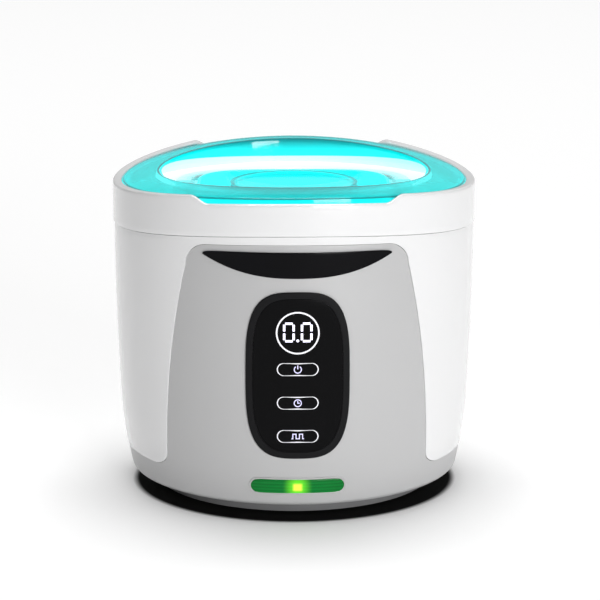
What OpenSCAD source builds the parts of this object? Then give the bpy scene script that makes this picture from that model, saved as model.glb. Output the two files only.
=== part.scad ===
// Household ultrasonic cleaner with a lift-off lid, a hanging basket and a steel tank.
// Origin on the table under the middle of the body, +Z up, the control panel faces -Y.

/* [Body] */
// Outside diameter of the white collar
body_d = 200.8; // [190:0.2:250]
// Height of the rim at the left and right sides
rim_h = 171.4; // [168:0.1:215]
// How much higher the rim and the seam are at the front and back
saddle_rise = 9.3; // [4:0.1:12]
// Distance from the rim down to the seam under the collar
collar_h = 22.3; // [20:0.1:30]
// Height of the lower edge of the shell above the table
shell_bottom_h = 8.4; // [7:0.1:12]
// Height of the lower edge of the white sleeve
sleeve_bottom_h = 23; // [18:0.5:34]
// Height where the shell starts to curl in
belly_h = 50; // [40:1:70]
// Radius lost between the seam and the belly
upper_taper = 2.7; // [1:0.1:5]
// Extra radius lost between the belly and the lower edge
lower_curl = 3.6; // [2:0.1:6]
// Wall of the moulded shells
shell_t = 2.5; // [2:0.1:3]
// Thickness of the white sleeve
sleeve_t = 2.2; // [1.6:0.1:3]

/* [Front and back apron] */
// Half width of the grey apron at its foot
apron_half_w = 70.6; // [62:0.1:74]
// How much narrower each side of the apron is at the top
apron_taper = 11.2; // [6:0.1:14]
// Distance from the seam down to the top of the apron
apron_drop = 4.9; // [3:0.1:12]
// Depth of the apron below the sleeve
apron_sink = 0.5; // [0.3:0.1:1]

/* [Rim notches] */
// Width of each finger notch at its floor
notch_w = 97; // [70:1:110]
// Depth of each finger notch
notch_depth = 4.7; // [4:0.1:6]

/* [Lid] */
// Outside radius of the lid
lid_r = 94.8; // [88:0.1:96]
// Radius of the raised crest of the lid
crest_r = 75.1; // [66:0.1:80]
// Height of the crest above the rim at the sides
crest_rise = 4.3; // [2:0.1:6]
// How much lower the arched floor is at the front and back than at the sides
floor_arch = 6.2; // [3:0.1:7]
// Radius of the round recess in the middle of the lid
recess_r = 36.5; // [25:0.5:42]
// Depth of the round recess below the middle of the floor
recess_depth = 6.9; // [3:0.1:7.5]
// Wall of the lid
lid_t = 2; // [1.6:0.1:3]
// Gap between the lid and the rim
lid_gap = 0.3; // [0.3:0.05:0.6]

/* [Tank] */
// Inside length of the tank, left to right
tank_len = 120; // [90:1:126]
// Inside width of the tank, front to back
tank_w = 113; // [90:1:122]
// Inside depth of the tank
tank_depth = 62; // [50:1:76]
// Steel sheet of the tank
tank_t = 0.8; // [0.6:0.1:1.2]
// Width of the flange round the tank
tank_flange_w = 7; // [5:0.5:8]
// Thickness of the silicone gasket under the flange
gasket_t = 0.8; // [0.5:0.1:1.5]

/* [Basket] */
// Gap between the basket and the tank wall
basket_gap = 6; // [5:0.5:10]
// Gap between the basket and the tank floor
basket_clear = 7; // [5:0.5:12]
// Wall of the basket
basket_t = 1.6; // [1.2:0.1:2.4]

/* [Control panel] */
// Width of the touch panel
touch_w = 55.5; // [50:0.5:62]
// Height of the touch panel
touch_h = 92; // [84:0.5:96]
// Height of the middle of the touch panel above the table
touch_z = 82.4; // [80:0.1:90]
// Width of the frame round the touch panel
bezel_w = 3.7; // [3:0.1:5]
// Height of the display above the middle of the touch panel
display_up = 23.9; // [20:0.1:26]
// Distance between touch keys
key_pitch = 18.6; // [16:0.1:20]

/* [Light bar and badge] */
// Length of the light bar
light_w = 50.4; // [40:0.2:60]
// Height of the light bar
light_h = 8; // [6:0.2:9]
// Height of the middle of the light bar above the table
light_z = 20.1; // [17:0.1:24]
// Width of the crescent plate
badge_w = 100.4; // [80:0.2:104]
// Height of the crescent plate at its middle
badge_h = 14; // [10:0.2:16]

/* [Transducer] */
// Diameter of the face bonded to the tank
horn_d = 45; // [40:1:60]
// Diameter of the ceramic rings
ring_d = 38; // [30:1:39]
// Thickness of one ceramic ring
ring_t = 5; // [4:0.5:6]

/* [Base] */
// Radius of the base plate
base_r = 80; // [76:0.5:84]
// Distance of the feet from the middle
foot_ring_r = 60; // [50:1:66]
// Diameter of a foot
foot_d = 18; // [12:1:20]
// Distance of the base screws from the middle
base_screw_r = 71; // [69:0.5:73]

/* [Mains inlet] */
// Height of the middle of the inlet above the table
inlet_z = 36; // [34:0.5:48]
// Width of the inlet body
inlet_w = 26; // [24:0.5:30]
// Height of the inlet body
inlet_h = 16; // [15:0.5:20]

/* [Hidden] */

// Small amounts: eps lets a cutter run past a face, fit is a hairline between loose neighbours,
// glue_t is the adhesive under what is stuck on the apron
eps = 0.05;
fit = 0.1;
seam_gap = 0.3;
glue_t = 0.1;
round_fn = 180;
small_fn = 32;
saddle_fn = 720;

body_r = body_d / 2;
seam_h = rim_h - collar_h;
seam_step = 0.7;
seam_r = body_r - seam_step;
belly_r = seam_r - upper_taper;
belly_slope = 2 * upper_taper / (seam_h - belly_h);
bottom_round = 3;
saddle_radius = body_r * body_r / (2 * saddle_rise);

// The deck inside the collar carries the lid and the tank
deck_drop = 8.8;
deck_z = rim_h - deck_drop;
rim_in_r = lid_r + lid_gap;
tongue_t = 2.2;
tongue_drop = 13;
skin_in = sleeve_t + fit;
wall_in = skin_in + 2.4;
tongue_r = seam_r - wall_in - 0.2;

// Tank levels
flange_z = deck_z + gasket_t;
tank_floor_z = flange_z + tank_t - tank_depth;
tank_under_z = tank_floor_z - tank_t;

// Screw posts under the deck
post_r = 84;
post_d = 8;
post_len = 26;
post_foot_z = deck_z - shell_t - post_len;
lug_t = 4;
screw_d = 3;
pilot_d = screw_d + 0.1;
through_d = 3.6;
head_d = 6;
head_h = 2;

// Base levels
base_top_z = shell_bottom_h;
base_floor_t = 2.5;
base_skirt_z = 1.5;
base_boss_h = 12;

// Apron outline
apron_top_z = seam_h + saddle_rise - apron_drop;
apron_foot_z = sleeve_bottom_h + 7;
apron_corner = 12;
apron_curve = 2.2;
apron_bow = 1.6;

// Panel levels
display_z = touch_z + display_up;
key_zs = [for (i = [0 : 2]) touch_z + 3.9 - i * key_pitch];
// Roundness of the touch panel outline
panel_power = 3.3;
window_w = 38;
window_h = 74;
board_w = 48;
board_h = 88;
board_t = 1.6;
board_y = -(shell_r(touch_z) - 9.3);
board_hole_x = 21.5;
board_hole_z = 40;

// Transducer stack, from the tank downwards
horn_h = 21;
electrode_t = 0.3;
back_mass_h = 22;
stack_bolt_d = 8;
ring_top_z = tank_under_z - horn_h;
ring_low_z = ring_top_z - 2 * ring_t - 2 * electrode_t;
back_low_z = ring_low_z - back_mass_h;

// Driver board
driver_z = base_top_z + 8;
driver_x = 104;
driver_y = 74;
driver_top = driver_z + board_t;
driver_hole_x = 46;
driver_hole_y = 31;

// Inlet
inlet_face_y = shell_r(inlet_z) - 3;
inlet_len = 18;

// Places of the inner parts
light_board_y = -(shell_r(light_z) - 12);
core_pos = [-30, 4, driver_top];
inductor_pos = [4, -22, driver_top];
heatsink_pos = [-20, 24, driver_top];
mains_plug_pos = [10, 24, driver_top];
stack_plug_pos = [44, -20, driver_top];
panel_plug_pos = [-20, -33, driver_top];
connector_size = [12, 6, 8];
lead_d = 1.6;

// Outer radius of the lower body at height z
function shell_r(z) = z > belly_h
    ? seam_r - upper_taper * pow((seam_h - z) / (seam_h - belly_h), 2)
    : belly_r - belly_slope * (belly_h - z)
        - lower_curl * pow((belly_h - z) / (belly_h - shell_bottom_h), 2);

// Radius lost to the rounded lower edge at height z
function edge_loss(z) = z < shell_bottom_h + bottom_round
    ? bottom_round - sqrt(pow(bottom_round, 2) - pow(shell_bottom_h + bottom_round - z, 2)) : 0;

// Heights at which the shell profile is sampled
function profile_zs(low, high, n) = [for (i = [0 : n]) low + (high - low) * i / n];

// Closed bowed rectangle with half sizes a and b
function bowed(a, b, power = 4, n = 72) = [for (i = [0 : n - 1]) let (t = 360 * i / n)
    [a * sign(cos(t)) * pow(abs(cos(t)), 2 / power),
     b * sign(sin(t)) * pow(abs(sin(t)), 2 / power)]];

// Half width of the apron at height z
function apron_half(z) = apron_half_w
    - apron_taper * pow((z - apron_foot_z) / (apron_top_z - apron_foot_z - apron_corner), apron_curve);

// Round wall that follows the body, between two depths below its surface
module shell_layer(out_depth, in_depth, low, high, steps = 12) {
    zs = profile_zs(low, high, steps);
    rotate_extrude($fn = round_fn)
        polygon(concat([for (z = zs) [shell_r(z) - out_depth, z]],
            [for (i = [steps : -1 : 0]) [shell_r(zs[i]) - in_depth, zs[i]]]));
}

// Rounded foot of the shell
module shell_foot(out_depth, in_depth, high) {
    steps = 5;
    zs = [for (i = [0 : steps]) shell_bottom_h + bottom_round * (1 - cos(90 * i / steps))];
    rotate_extrude($fn = round_fn)
        polygon(concat([for (z = zs) [shell_r(z) - out_depth - edge_loss(z), z]],
            [[shell_r(high) - out_depth, high], [shell_r(high) - in_depth, high],
             [shell_r(shell_bottom_h) - in_depth - bottom_round, shell_bottom_h]]));
}

// Everything above a saddle whose lowest line, over the sides, is at height z
module above_saddle(z) {
    translate([-2 * body_r, 0, z + saddle_radius])
        rotate([0, 90, 0])
            cylinder(h = 4 * body_r, r = saddle_radius, $fn = saddle_fn);
}

// Front outline of the apron, grown by a margin
module apron_outline(grow = 0) {
    steps = 8;
    side = [for (i = [0 : steps]) let (z = apron_foot_z
        + (apron_top_z - apron_corner - apron_foot_z) * i / steps) [apron_half(z) + grow, z]];
    top_x = side[steps][0] - grow - apron_corner;
    corner_z = apron_top_z - apron_corner - apron_bow;
    corner = [for (a = [15 : 15 : 75]) [top_x + (apron_corner + grow) * cos(a),
        corner_z + (apron_corner + grow) * sin(a)]];
    top = [for (i = [4 : -1 : 0]) let (x = top_x * i / 4)
        [x, apron_top_z + grow - apron_bow * pow(x / top_x, 2)]];
    flare_r = apron_foot_z - sleeve_bottom_h - grow;
    flare = [for (a = [90 : -18 : 18]) [apron_half_w + grow + flare_r * (1 - sin(a)),
        sleeve_bottom_h + grow + flare_r * (1 - cos(a))]];
    half = concat([[0, 0], [body_d, 0], [body_d, sleeve_bottom_h + grow]],
        [for (i = [len(flare) - 1 : -1 : 0]) flare[i]], side, corner, top);
    polygon(half);
    mirror([1, 0])
        polygon(half);
}

// A flat outline carried through the body from front to back
module through_body() {
    translate([0, body_d, 0])
        rotate([90, 0, 0])
            linear_extrude(2 * body_d)
                children();
}

// A flat outline carried through the front wall only
module through_front() {
    translate([0, -body_r / 2, 0])
        rotate([90, 0, 0])
            linear_extrude(body_r)
                children();
}

// Screw with its head at the origin and its shank along +Z
module screw(length, d = screw_d) {
    cylinder(h = length, d = d, $fn = small_fn);
    difference() {
        translate([0, 0, -head_h])
            cylinder(h = head_h, d = head_d, $fn = small_fn);
        for (turn = [0, 90])
            rotate(turn)
                translate([-1.8, -0.35, -head_h - eps])
                    cube([3.6, 0.7, 0.9]);
    }
}

// Copies at four places round the middle
module four_round(radius, start = 45) {
    for (i = [0 : 3])
        rotate(start + 90 * i)
            translate([radius, 0, 0])
                children();
}

// Copies at four corners of a rectangle
module four_corners(x, y) {
    for (sx = [-1, 1])
        for (sy = [-1, 1])
            translate([sx * x, sy * y, 0])
                children();
}

// Point at t on the smooth curve with four control points
function curve_point(c, t) = pow(1 - t, 3) * c[0] + 3 * t * pow(1 - t, 2) * c[1]
    + 3 * t * t * (1 - t) * c[2] + pow(t, 3) * c[3];

// Direction at t on the same curve
function curve_run(c, t) = pow(1 - t, 2) * (c[1] - c[0]) + 2 * t * (1 - t) * (c[2] - c[1])
    + t * t * (c[3] - c[2]);

function unit(v) = v / norm(v);

// Insulated wire along a curve of four control points; side is never along the wire
module wire(c, d, side, rings = 16, sides = 8) {
    points = [for (i = [0 : rings]) let (t = i / rings, run = unit(curve_run(c, t)),
        u = unit(cross(run, side)), v = cross(run, u))
        for (j = [0 : sides - 1]) let (a = 360 * j / sides)
            curve_point(c, t) + d / 2 * (cos(a) * u + sin(a) * v)];
    walls = [for (i = [0 : rings - 1]) for (j = [0 : sides - 1]) let (k = (j + 1) % sides)
        for (tri = [[i * sides + j, i * sides + k, (i + 1) * sides + k],
            [i * sides + j, (i + 1) * sides + k, (i + 1) * sides + j]]) tri];
    start = [[for (j = [sides - 1 : -1 : 0]) j]];
    stop = [[for (j = [0 : sides - 1]) rings * sides + j]];
    polyhedron(points, concat(walls, start, stop));
}

// Height of the notch floor where the rim passes at x
function notch_floor(x) = rim_h - notch_depth + saddle_rise * (1 - pow(x / body_r, 2));

// Shallow finger notches at the front and back of the rim, with eased ends
module notch_cutter() {
    ease = 10;
    steps = 8;
    end_curve = [for (i = [0 : steps]) let (x = notch_w / 2 - 2 + ease * i / steps)
        [x, notch_floor(x) + notch_depth * (1 - cos(180 * i / steps)) / 2]];
    half = concat([[0, deck_z + 1], [end_curve[0][0], deck_z + 1]], end_curve,
        [[end_curve[steps][0], rim_h + 30], [0, rim_h + 30]]);
    intersection() {
        above_saddle(rim_h - notch_depth);
        through_body() {
            polygon(half);
            mirror([1, 0])
                polygon(half);
        }
        for (side = [-1, 1])
            translate([-body_r, side * body_r - body_r / 2, 0])
                cube([body_d, body_r, 2 * rim_h]);
    }
}

// White collar: rim with two notches, and the deck that carries the lid and the tank
module upper_collar() {
    high = rim_h + saddle_rise + 5;
    color("white")
    difference() {
        union() {
            intersection() {
                rotate_extrude($fn = round_fn)
                    polygon([[body_r - shell_t, seam_h - 5], [body_r, seam_h - 5],
                        [body_r, high], [body_r - shell_t, high]]);
                above_saddle(seam_h);
            }
            rotate_extrude($fn = round_fn)
                polygon([[0, deck_z], [rim_in_r, deck_z],
                    [rim_in_r, high], [body_r - shell_t / 2, high],
                    [body_r - shell_t / 2, deck_z - shell_t], [tongue_r, deck_z - shell_t],
                    [tongue_r, deck_z - tongue_drop], [tongue_r - tongue_t, deck_z - tongue_drop],
                    [tongue_r - tongue_t, deck_z - shell_t], [0, deck_z - shell_t]]);
            four_round(post_r)
                translate([0, 0, post_foot_z])
                    cylinder(h = post_len + shell_t / 2, d = post_d, $fn = small_fn);
        }
        above_saddle(rim_h);
        notch_cutter();
        translate([0, 0, deck_z - shell_t - 1])
            linear_extrude(shell_t + 2)
                polygon(bowed(tank_len / 2 + tank_t + 0.5, tank_w / 2 + tank_t + 0.5));
        four_round(post_r)
            translate([0, 0, post_foot_z - 1])
                cylinder(h = post_len - 5, d = pilot_d, $fn = small_fn);
    }
}

// Slots through the back wall, low on both sides of the inlet
module rear_vents() {
    for (side = [-1, 1])
        for (i = [0 : 4])
            translate([side * (27 + 5 * i) - 1.2, body_r / 2, inlet_z - 8])
                cube([2.4, body_r, 16]);
}

// Grey shell: set back under the sleeve, full size at the front and back aprons
module main_shell() {
    high = seam_h + saddle_rise + 2;
    color("silver")
    difference() {
        union() {
            difference() {
                shell_layer(skin_in, wall_in, shell_bottom_h + bottom_round, high);
                intersection() {
                    through_body()
                        apron_outline(-4);
                    translate([-body_r, -body_r, sleeve_bottom_h + 4])
                        cube([body_d, body_d, rim_h]);
                }
            }
            intersection() {
                shell_layer(apron_sink, apron_sink + shell_t, shell_bottom_h + bottom_round, high);
                through_body()
                    apron_outline();
            }
            shell_foot(apron_sink, apron_sink + shell_t, shell_bottom_h + bottom_round + eps);
            translate([0, 0, shell_bottom_h])
                difference() {
                    cylinder(h = shell_t, r = shell_r(shell_bottom_h) - bottom_round - 1, $fn = round_fn);
                    translate([0, 0, -1])
                        cylinder(h = shell_t + 2, r = base_r - 14, $fn = round_fn);
                }
            four_round(base_screw_r)
                translate([0, 0, shell_bottom_h])
                    cylinder(h = base_boss_h, d = post_d, $fn = small_fn);
            intersection() {
                four_round(post_r)
                    translate([-post_d / 2, -post_d / 2, post_foot_z - lug_t])
                        cube([body_r - post_r, post_d, lug_t]);
                cylinder(h = rim_h, r = seam_r - wall_in + 0.5, $fn = round_fn);
            }
            control_posts();
        }
        above_saddle(seam_h - seam_gap);
        four_round(base_screw_r)
            translate([0, 0, shell_bottom_h - 1])
                cylinder(h = base_boss_h, d = pilot_d, $fn = small_fn);
        four_round(post_r)
            translate([0, 0, post_foot_z - lug_t - 1])
                cylinder(h = lug_t + 2, d = through_d, $fn = small_fn);
        through_front()
            translate([0, touch_z])
                square([window_w, window_h], center = true);
        through_front()
            light_outline(fit);
        at_board_holes()
            translate([0, 0, -1])
                cylinder(h = 4, d = 2.1, $fn = small_fn);
        translate([-inlet_w / 2 - fit, body_r / 2, inlet_z - inlet_h / 2 - fit])
            cube([inlet_w + 2 * fit, body_r, inlet_h + 2 * fit]);
        rear_vents();
    }
}

// Copies at the four holes of the control board, pointing out through the front
module at_board_holes() {
    for (sx = [-1, 1])
        for (sz = [-1, 1])
            translate([sx * board_hole_x, board_y, touch_z + sz * board_hole_z])
                rotate([90, 0, 0])
                    children();
}

// Posts on the front wall that carry the control board
module control_posts() {
    intersection() {
        at_board_holes()
            cylinder(h = 12, d = 5, $fn = small_fn);
        shell_layer(2, 20, shell_bottom_h + bottom_round, seam_h);
    }
}

// White sleeve over the grey shell, open at the front and back aprons
module outer_sleeve() {
    color("white")
    difference() {
        shell_layer(0, sleeve_t, sleeve_bottom_h, seam_h + saddle_rise);
        through_body()
            apron_outline(0.15);
        above_saddle(seam_h - seam_gap);
    }
}

// Dark pan that closes the bottom, with counterbored screw holes and cooling slots
module base_plate() {
    color("dimgray")
    difference() {
        union() {
            rotate_extrude($fn = round_fn)
                polygon([[0, base_top_z - base_floor_t], [base_r - 5.5, base_top_z - base_floor_t],
                    [base_r - 5.5, base_skirt_z], [base_r - 3, base_skirt_z],
                    [base_r, base_top_z], [0, base_top_z]]);
            four_corners(driver_hole_x, driver_hole_y)
                translate([0, 0, base_top_z - eps])
                    cylinder(h = driver_z - base_top_z + eps, d = 6, $fn = small_fn);
        }
        four_round(base_screw_r)
            cylinder(h = 2 * base_top_z, d = through_d, $fn = small_fn);
        four_corners(driver_hole_x, driver_hole_y)
            translate([0, 0, base_top_z])
                cylinder(h = driver_z, d = 2.1, $fn = small_fn);
        for (i = [-4 : 4])
            translate([7 * i - 1.25, -18, 0])
                cube([2.5, 36, 2 * base_top_z]);
    }
}

module rubber_feet() {
    color("black")
    four_round(foot_ring_r, 0)
        rotate_extrude($fn = 48)
            polygon([[0, 0], [foot_d / 2 - 1, 0], [foot_d / 2, 1],
                [foot_d / 2 - 0.5, base_top_z - base_floor_t], [0, base_top_z - base_floor_t]]);
}

module base_screws() {
    color("lightgray")
    four_round(base_screw_r)
        translate([0, 0, base_top_z - base_floor_t])
            screw(10);
}

module collar_screws() {
    color("lightgray")
    four_round(post_r)
        translate([0, 0, post_foot_z - lug_t])
            screw(16);
}

// Plain dark crescent with blunt tips, its lower edge deeper than its upper edge
module badge_outline() {
    steps = 14;
    rise = 3;
    tip_z = apron_top_z - 6.8;
    us = [for (i = [-steps : steps]) sin(90 * i / steps)];
    polygon(concat([for (u = us) [u * badge_w / 2, tip_z + rise * pow(max(0, 1 - u * u), 0.25)]],
        [for (i = [2 * steps - 1 : -1 : 1]) [us[i] * badge_w / 2,
            tip_z - (badge_h - rise) * (1 - pow(abs(us[i]), 2.5))]]));
}

module crescent_plate() {
    color("black")
    intersection() {
        shell_layer(apron_sink - 0.8, apron_sink - glue_t, sleeve_bottom_h, rim_h);
        through_front()
            badge_outline();
    }
}

module touch_bezel() {
    color("dimgray")
    intersection() {
        shell_layer(apron_sink - 1.1, apron_sink - glue_t, sleeve_bottom_h, rim_h);
        through_front()
            translate([0, touch_z])
                difference() {
                    polygon(bowed(touch_w / 2, touch_h / 2, panel_power));
                    polygon(bowed(touch_w / 2 - bezel_w, touch_h / 2 - bezel_w, panel_power));
                }
    }
}

module touch_glass() {
    color("black")
    intersection() {
        shell_layer(apron_sink - 0.8, apron_sink - glue_t, sleeve_bottom_h, rim_h);
        through_front()
            translate([0, touch_z])
                polygon(bowed(touch_w / 2 - bezel_w - 0.05, touch_h / 2 - bezel_w - 0.05, panel_power));
    }
}

// Long slot with round ends
module light_outline(grow = 0) {
    end_r = light_h / 2;
    for (side = [-1, 1])
        translate([side * (light_w / 2 - end_r), light_z])
            circle(r = end_r + grow, $fn = small_fn);
    translate([0, light_z])
        square([light_w - light_h, light_h + 2 * grow], center = true);
}

module light_bar_lens() {
    color("limegreen", 0.6)
    intersection() {
        shell_layer(apron_sink - 1.2, apron_sink + shell_t + 1.5, shell_bottom_h + 1, belly_h);
        through_front()
            light_outline();
    }
}

module light_bar_board() {
    color("darkgreen")
    translate([-20, light_board_y, light_z - 5])
        cube([40, 1.2, 10]);
}

module light_bar_leds() {
    color("lightyellow")
    for (x = [-12, 0, 12])
        translate([x - 1.75, light_board_y - 1.9, light_z - 1.4])
            cube([3.5, 1.9, 2.8]);
}

module control_board() {
    color("darkgreen")
    difference() {
        translate([-board_w / 2, board_y, touch_z - board_h / 2])
            cube([board_w, board_t, board_h]);
        at_board_holes()
            translate([0, 0, -board_t - 1])
                cylinder(h = board_t + 2, d = 2.6, $fn = small_fn);
    }
}

module display_module() {
    color("dimgray")
    translate([-12, board_y - 7.4, display_z - 8])
        cube([24, 7.4, 16]);
}

// Sprung contacts that press on the back of the touch panel
module touch_springs() {
    color("goldenrod")
    for (z = key_zs) {
        reach = shell_r(z) - apron_sink + board_y - 0.3;
        translate([0, board_y, z])
            rotate([90, 0, 0])
                difference() {
                    cylinder(h = reach, d = 7, $fn = small_fn);
                    translate([0, 0, 0.5])
                        cylinder(h = reach, d = 5.6, $fn = small_fn);
                }
    }
}

module control_chip() {
    color("black")
    translate([-5, board_y + board_t, touch_z - 6])
        cube([10, 1.6, 12]);
}

module buzzer() {
    color("black")
    translate([11, board_y + board_t, touch_z + 24])
        rotate([-90, 0, 0])
            difference() {
                cylinder(h = 6, d = 12, $fn = 48);
                translate([0, 0, 5])
                    cylinder(h = 2, d = 2, $fn = small_fn);
            }
}

module panel_screws() {
    color("lightgray")
    at_board_holes() {
        translate([0, 0, -board_t])
            cylinder(h = 4, d = 2, $fn = small_fn);
        translate([0, 0, -board_t - 1.4])
            cylinder(h = 1.4, d = 4, $fn = small_fn);
    }
}

// Deep-drawn steel tank with a flange that lies on the gasket
module tank() {
    color("lightsteelblue")
    difference() {
        union() {
            translate([0, 0, tank_under_z])
                linear_extrude(tank_depth + tank_t)
                    polygon(bowed(tank_len / 2 + tank_t, tank_w / 2 + tank_t));
            translate([0, 0, flange_z])
                linear_extrude(tank_t)
                    polygon(bowed(tank_len / 2 + tank_flange_w, tank_w / 2 + tank_flange_w));
        }
        translate([0, 0, tank_floor_z])
            linear_extrude(tank_depth + 1)
                polygon(bowed(tank_len / 2, tank_w / 2));
    }
}

module tank_gasket() {
    color("gainsboro")
    translate([0, 0, deck_z])
        linear_extrude(gasket_t)
            difference() {
                polygon(bowed(tank_len / 2 + tank_flange_w - 1, tank_w / 2 + tank_flange_w - 1));
                polygon(bowed(tank_len / 2 + tank_t + 0.5, tank_w / 2 + tank_t + 0.5));
            }
}

module transducer_horn() {
    color("silver")
    translate([0, 0, ring_top_z])
        difference() {
            cylinder(h = horn_h, d1 = ring_d, d2 = horn_d, $fn = 96);
            translate([0, 0, -1])
                cylinder(h = 13, d = stack_bolt_d, $fn = small_fn);
        }
}

module piezo_rings() {
    color("dimgray")
    for (i = [0, 1])
        translate([0, 0, ring_low_z + electrode_t + i * (ring_t + electrode_t)])
            difference() {
                cylinder(h = ring_t, d = ring_d, $fn = 96);
                translate([0, 0, -1])
                    cylinder(h = ring_t + 2, d = 13, $fn = small_fn);
            }
}

module transducer_electrodes() {
    color("goldenrod")
    for (i = [0, 1])
        translate([0, 0, ring_low_z + i * (ring_t + electrode_t)])
            difference() {
                union() {
                    cylinder(h = electrode_t, d = ring_d, $fn = 96);
                    translate([ring_d / 2 - 2, -4 + 4 * i, 0])
                        cube([8, 4, electrode_t]);
                }
                translate([0, 0, -1])
                    cylinder(h = 2, d = 13, $fn = small_fn);
            }
}

module transducer_back_mass() {
    color("gray")
    translate([0, 0, back_low_z])
        difference() {
            cylinder(h = back_mass_h, d = ring_d, $fn = 96);
            translate([0, 0, -1])
                cylinder(h = back_mass_h + 2, d = stack_bolt_d + 0.4, $fn = small_fn);
        }
}

module transducer_bolt() {
    color("dimgray")
    translate([0, 0, back_low_z]) {
        cylinder(h = back_mass_h + 2 * ring_t + 2 * electrode_t + 10, d = stack_bolt_d - 0.1,
            $fn = small_fn);
        translate([0, 0, -5])
            difference() {
                cylinder(h = 5, d = 13, $fn = small_fn);
                translate([0, 0, -1])
                    cylinder(h = 4, d = 6.9, $fn = 6);
            }
    }
}

module driver_board() {
    color("darkgreen")
    difference() {
        translate([-driver_x / 2, -driver_y / 2, driver_z])
            cube([driver_x, driver_y, board_t]);
        four_corners(driver_hole_x, driver_hole_y)
            translate([0, 0, driver_z - 1])
                cylinder(h = board_t + 2, d = 2.6, $fn = small_fn);
    }
}

module driver_screws() {
    color("lightgray")
    four_corners(driver_hole_x, driver_hole_y)
        translate([0, 0, driver_z - 5]) {
            cylinder(h = 5 + board_t, d = 2, $fn = small_fn);
            translate([0, 0, 5 + board_t])
                cylinder(h = 1.4, d = 4.5, $fn = small_fn);
        }
}

// Ferrite core with two windows, standing on the driver board
module transformer_core() {
    color("dimgray")
    translate(core_pos)
        difference() {
            translate([-14, -6, 0])
                cube([28, 12, 18]);
            for (side = [-1, 1])
                translate([side * 7 - 3, -7, 4])
                    cube([6, 14, 10]);
        }
}

module transformer_winding() {
    color("darkgoldenrod")
    translate(core_pos)
        difference() {
            translate([-9.5, -9.5, 4.1])
                cube([19, 19, 9.8]);
            translate([-4.1, -6.1, 4])
                cube([8.2, 12.2, 10]);
        }
}

module line_inductor() {
    color("chocolate")
    translate(inductor_pos)
        rotate_extrude($fn = 72)
            translate([8, 5])
                circle(r = 4.5, $fn = 36);
}

module filter_capacitors() {
    color("navy")
    for (c = [[26, -18, 8, 24], [26, 4, 5, 16], [12, 6, 5, 16]])
        translate([c[0], c[1], driver_top])
            rotate_extrude($fn = 48)
                polygon([[0, 0], [c[2], 0], [c[2], c[3] - 1], [c[2] - 1, c[3]], [0, c[3]]]);
}

module heatsink() {
    color("silver")
    translate(heatsink_pos) {
        translate([-20, 0, 0])
            cube([40, 3, 22]);
        for (i = [0 : 6])
            translate([-20 + 6.4 * i, 3 - eps, 0])
                cube([1.6, 8, 22]);
    }
}

module switching_transistors() {
    color("black")
    for (x = [-10, 8])
        translate(heatsink_pos + [x - 5, -4.5, 5])
            cube([10, 4.5, 15]);
}

module fuse() {
    color("white")
    translate([36, 24, driver_top + 4])
        rotate([0, 90, 90]) {
            translate([0, 0, -12])
                cylinder(h = 20, d = 5.2, $fn = small_fn);
        }
}

module board_connectors() {
    color("ivory")
    for (p = [mains_plug_pos, stack_plug_pos, panel_plug_pos])
        translate(p + [-connector_size[0] / 2, 0, 0])
            cube(connector_size);
}

// Appliance inlet with a figure-of-eight recess
module mains_inlet() {
    color("black")
    difference() {
        union() {
            translate([-inlet_w / 2, inlet_face_y - inlet_len, inlet_z - inlet_h / 2])
                cube([inlet_w, inlet_len, inlet_h]);
            translate([-inlet_w / 2 - 4, inlet_face_y - inlet_len, inlet_z - inlet_h / 2 - 4])
                cube([inlet_w + 8, 3, inlet_h + 8]);
        }
        translate([0, inlet_face_y + 1, inlet_z])
            rotate([90, 0, 0]) {
                for (side = [-1, 1])
                    translate([side * 4.3, 0, 0])
                        cylinder(h = 13, d = 8.4, $fn = 48);
                translate([-4.3, -4.2, 0])
                    cube([8.6, 6.4, 13]);
            }
    }
}

module inlet_pins() {
    color("gold")
    for (side = [-1, 1])
        translate([side * 4.3, inlet_face_y - 12, inlet_z])
            rotate([-90, 0, 0])
                cylinder(h = 9, d = 2.4, $fn = small_fn);
}

// Two wires from the inlet to the driver board
module mains_leads() {
    color("saddlebrown")
    for (side = [-1, 1]) {
        start = [side * 4.3, inlet_face_y - inlet_len, inlet_z];
        stop = mains_plug_pos + [side * 3, connector_size[1] / 2, connector_size[2]];
        wire([start, start - [0, 26, 0], stop + [0, 0, 20], stop], lead_d, [1, 0, 0]);
    }
}

// Two wires from the driver board up to the electrode tabs
module transducer_leads() {
    color("red")
    for (i = [0, 1]) {
        stop = [ring_d / 2 + 5, -2 + 4 * i, ring_low_z + i * (ring_t + electrode_t)];
        start = stack_plug_pos + [-3 + 6 * i, connector_size[1] / 2, connector_size[2]];
        wire([start, start + [0, 0, 20], stop - [0, 0, 12], stop], lead_d, [0, 1, 0]);
    }
}

// Flat cable from the driver board to the back of the control board
module panel_ribbon() {
    thick = 0.8;
    start = [panel_plug_pos[1] + 3, driver_top + connector_size[2]];
    stop = [board_y + board_t, touch_z - 28];
    path = [start, start + [0, 8], stop + [12, -10], stop + [12, 0], stop];
    color("gray")
    translate([panel_plug_pos[0] - 5, 0, 0])
        rotate([90, 0, 90])
            linear_extrude(10)
                for (i = [0 : len(path) - 2]) {
                    step = path[i + 1] - path[i];
                    translate(path[i])
                        rotate(atan2(step[1], step[0]))
                            translate([0, -thick / 2])
                                square([norm(step), thick]);
                    if (i > 0)
                        translate(path[i])
                            circle(d = thick, $fn = small_fn);
                }
}

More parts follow.
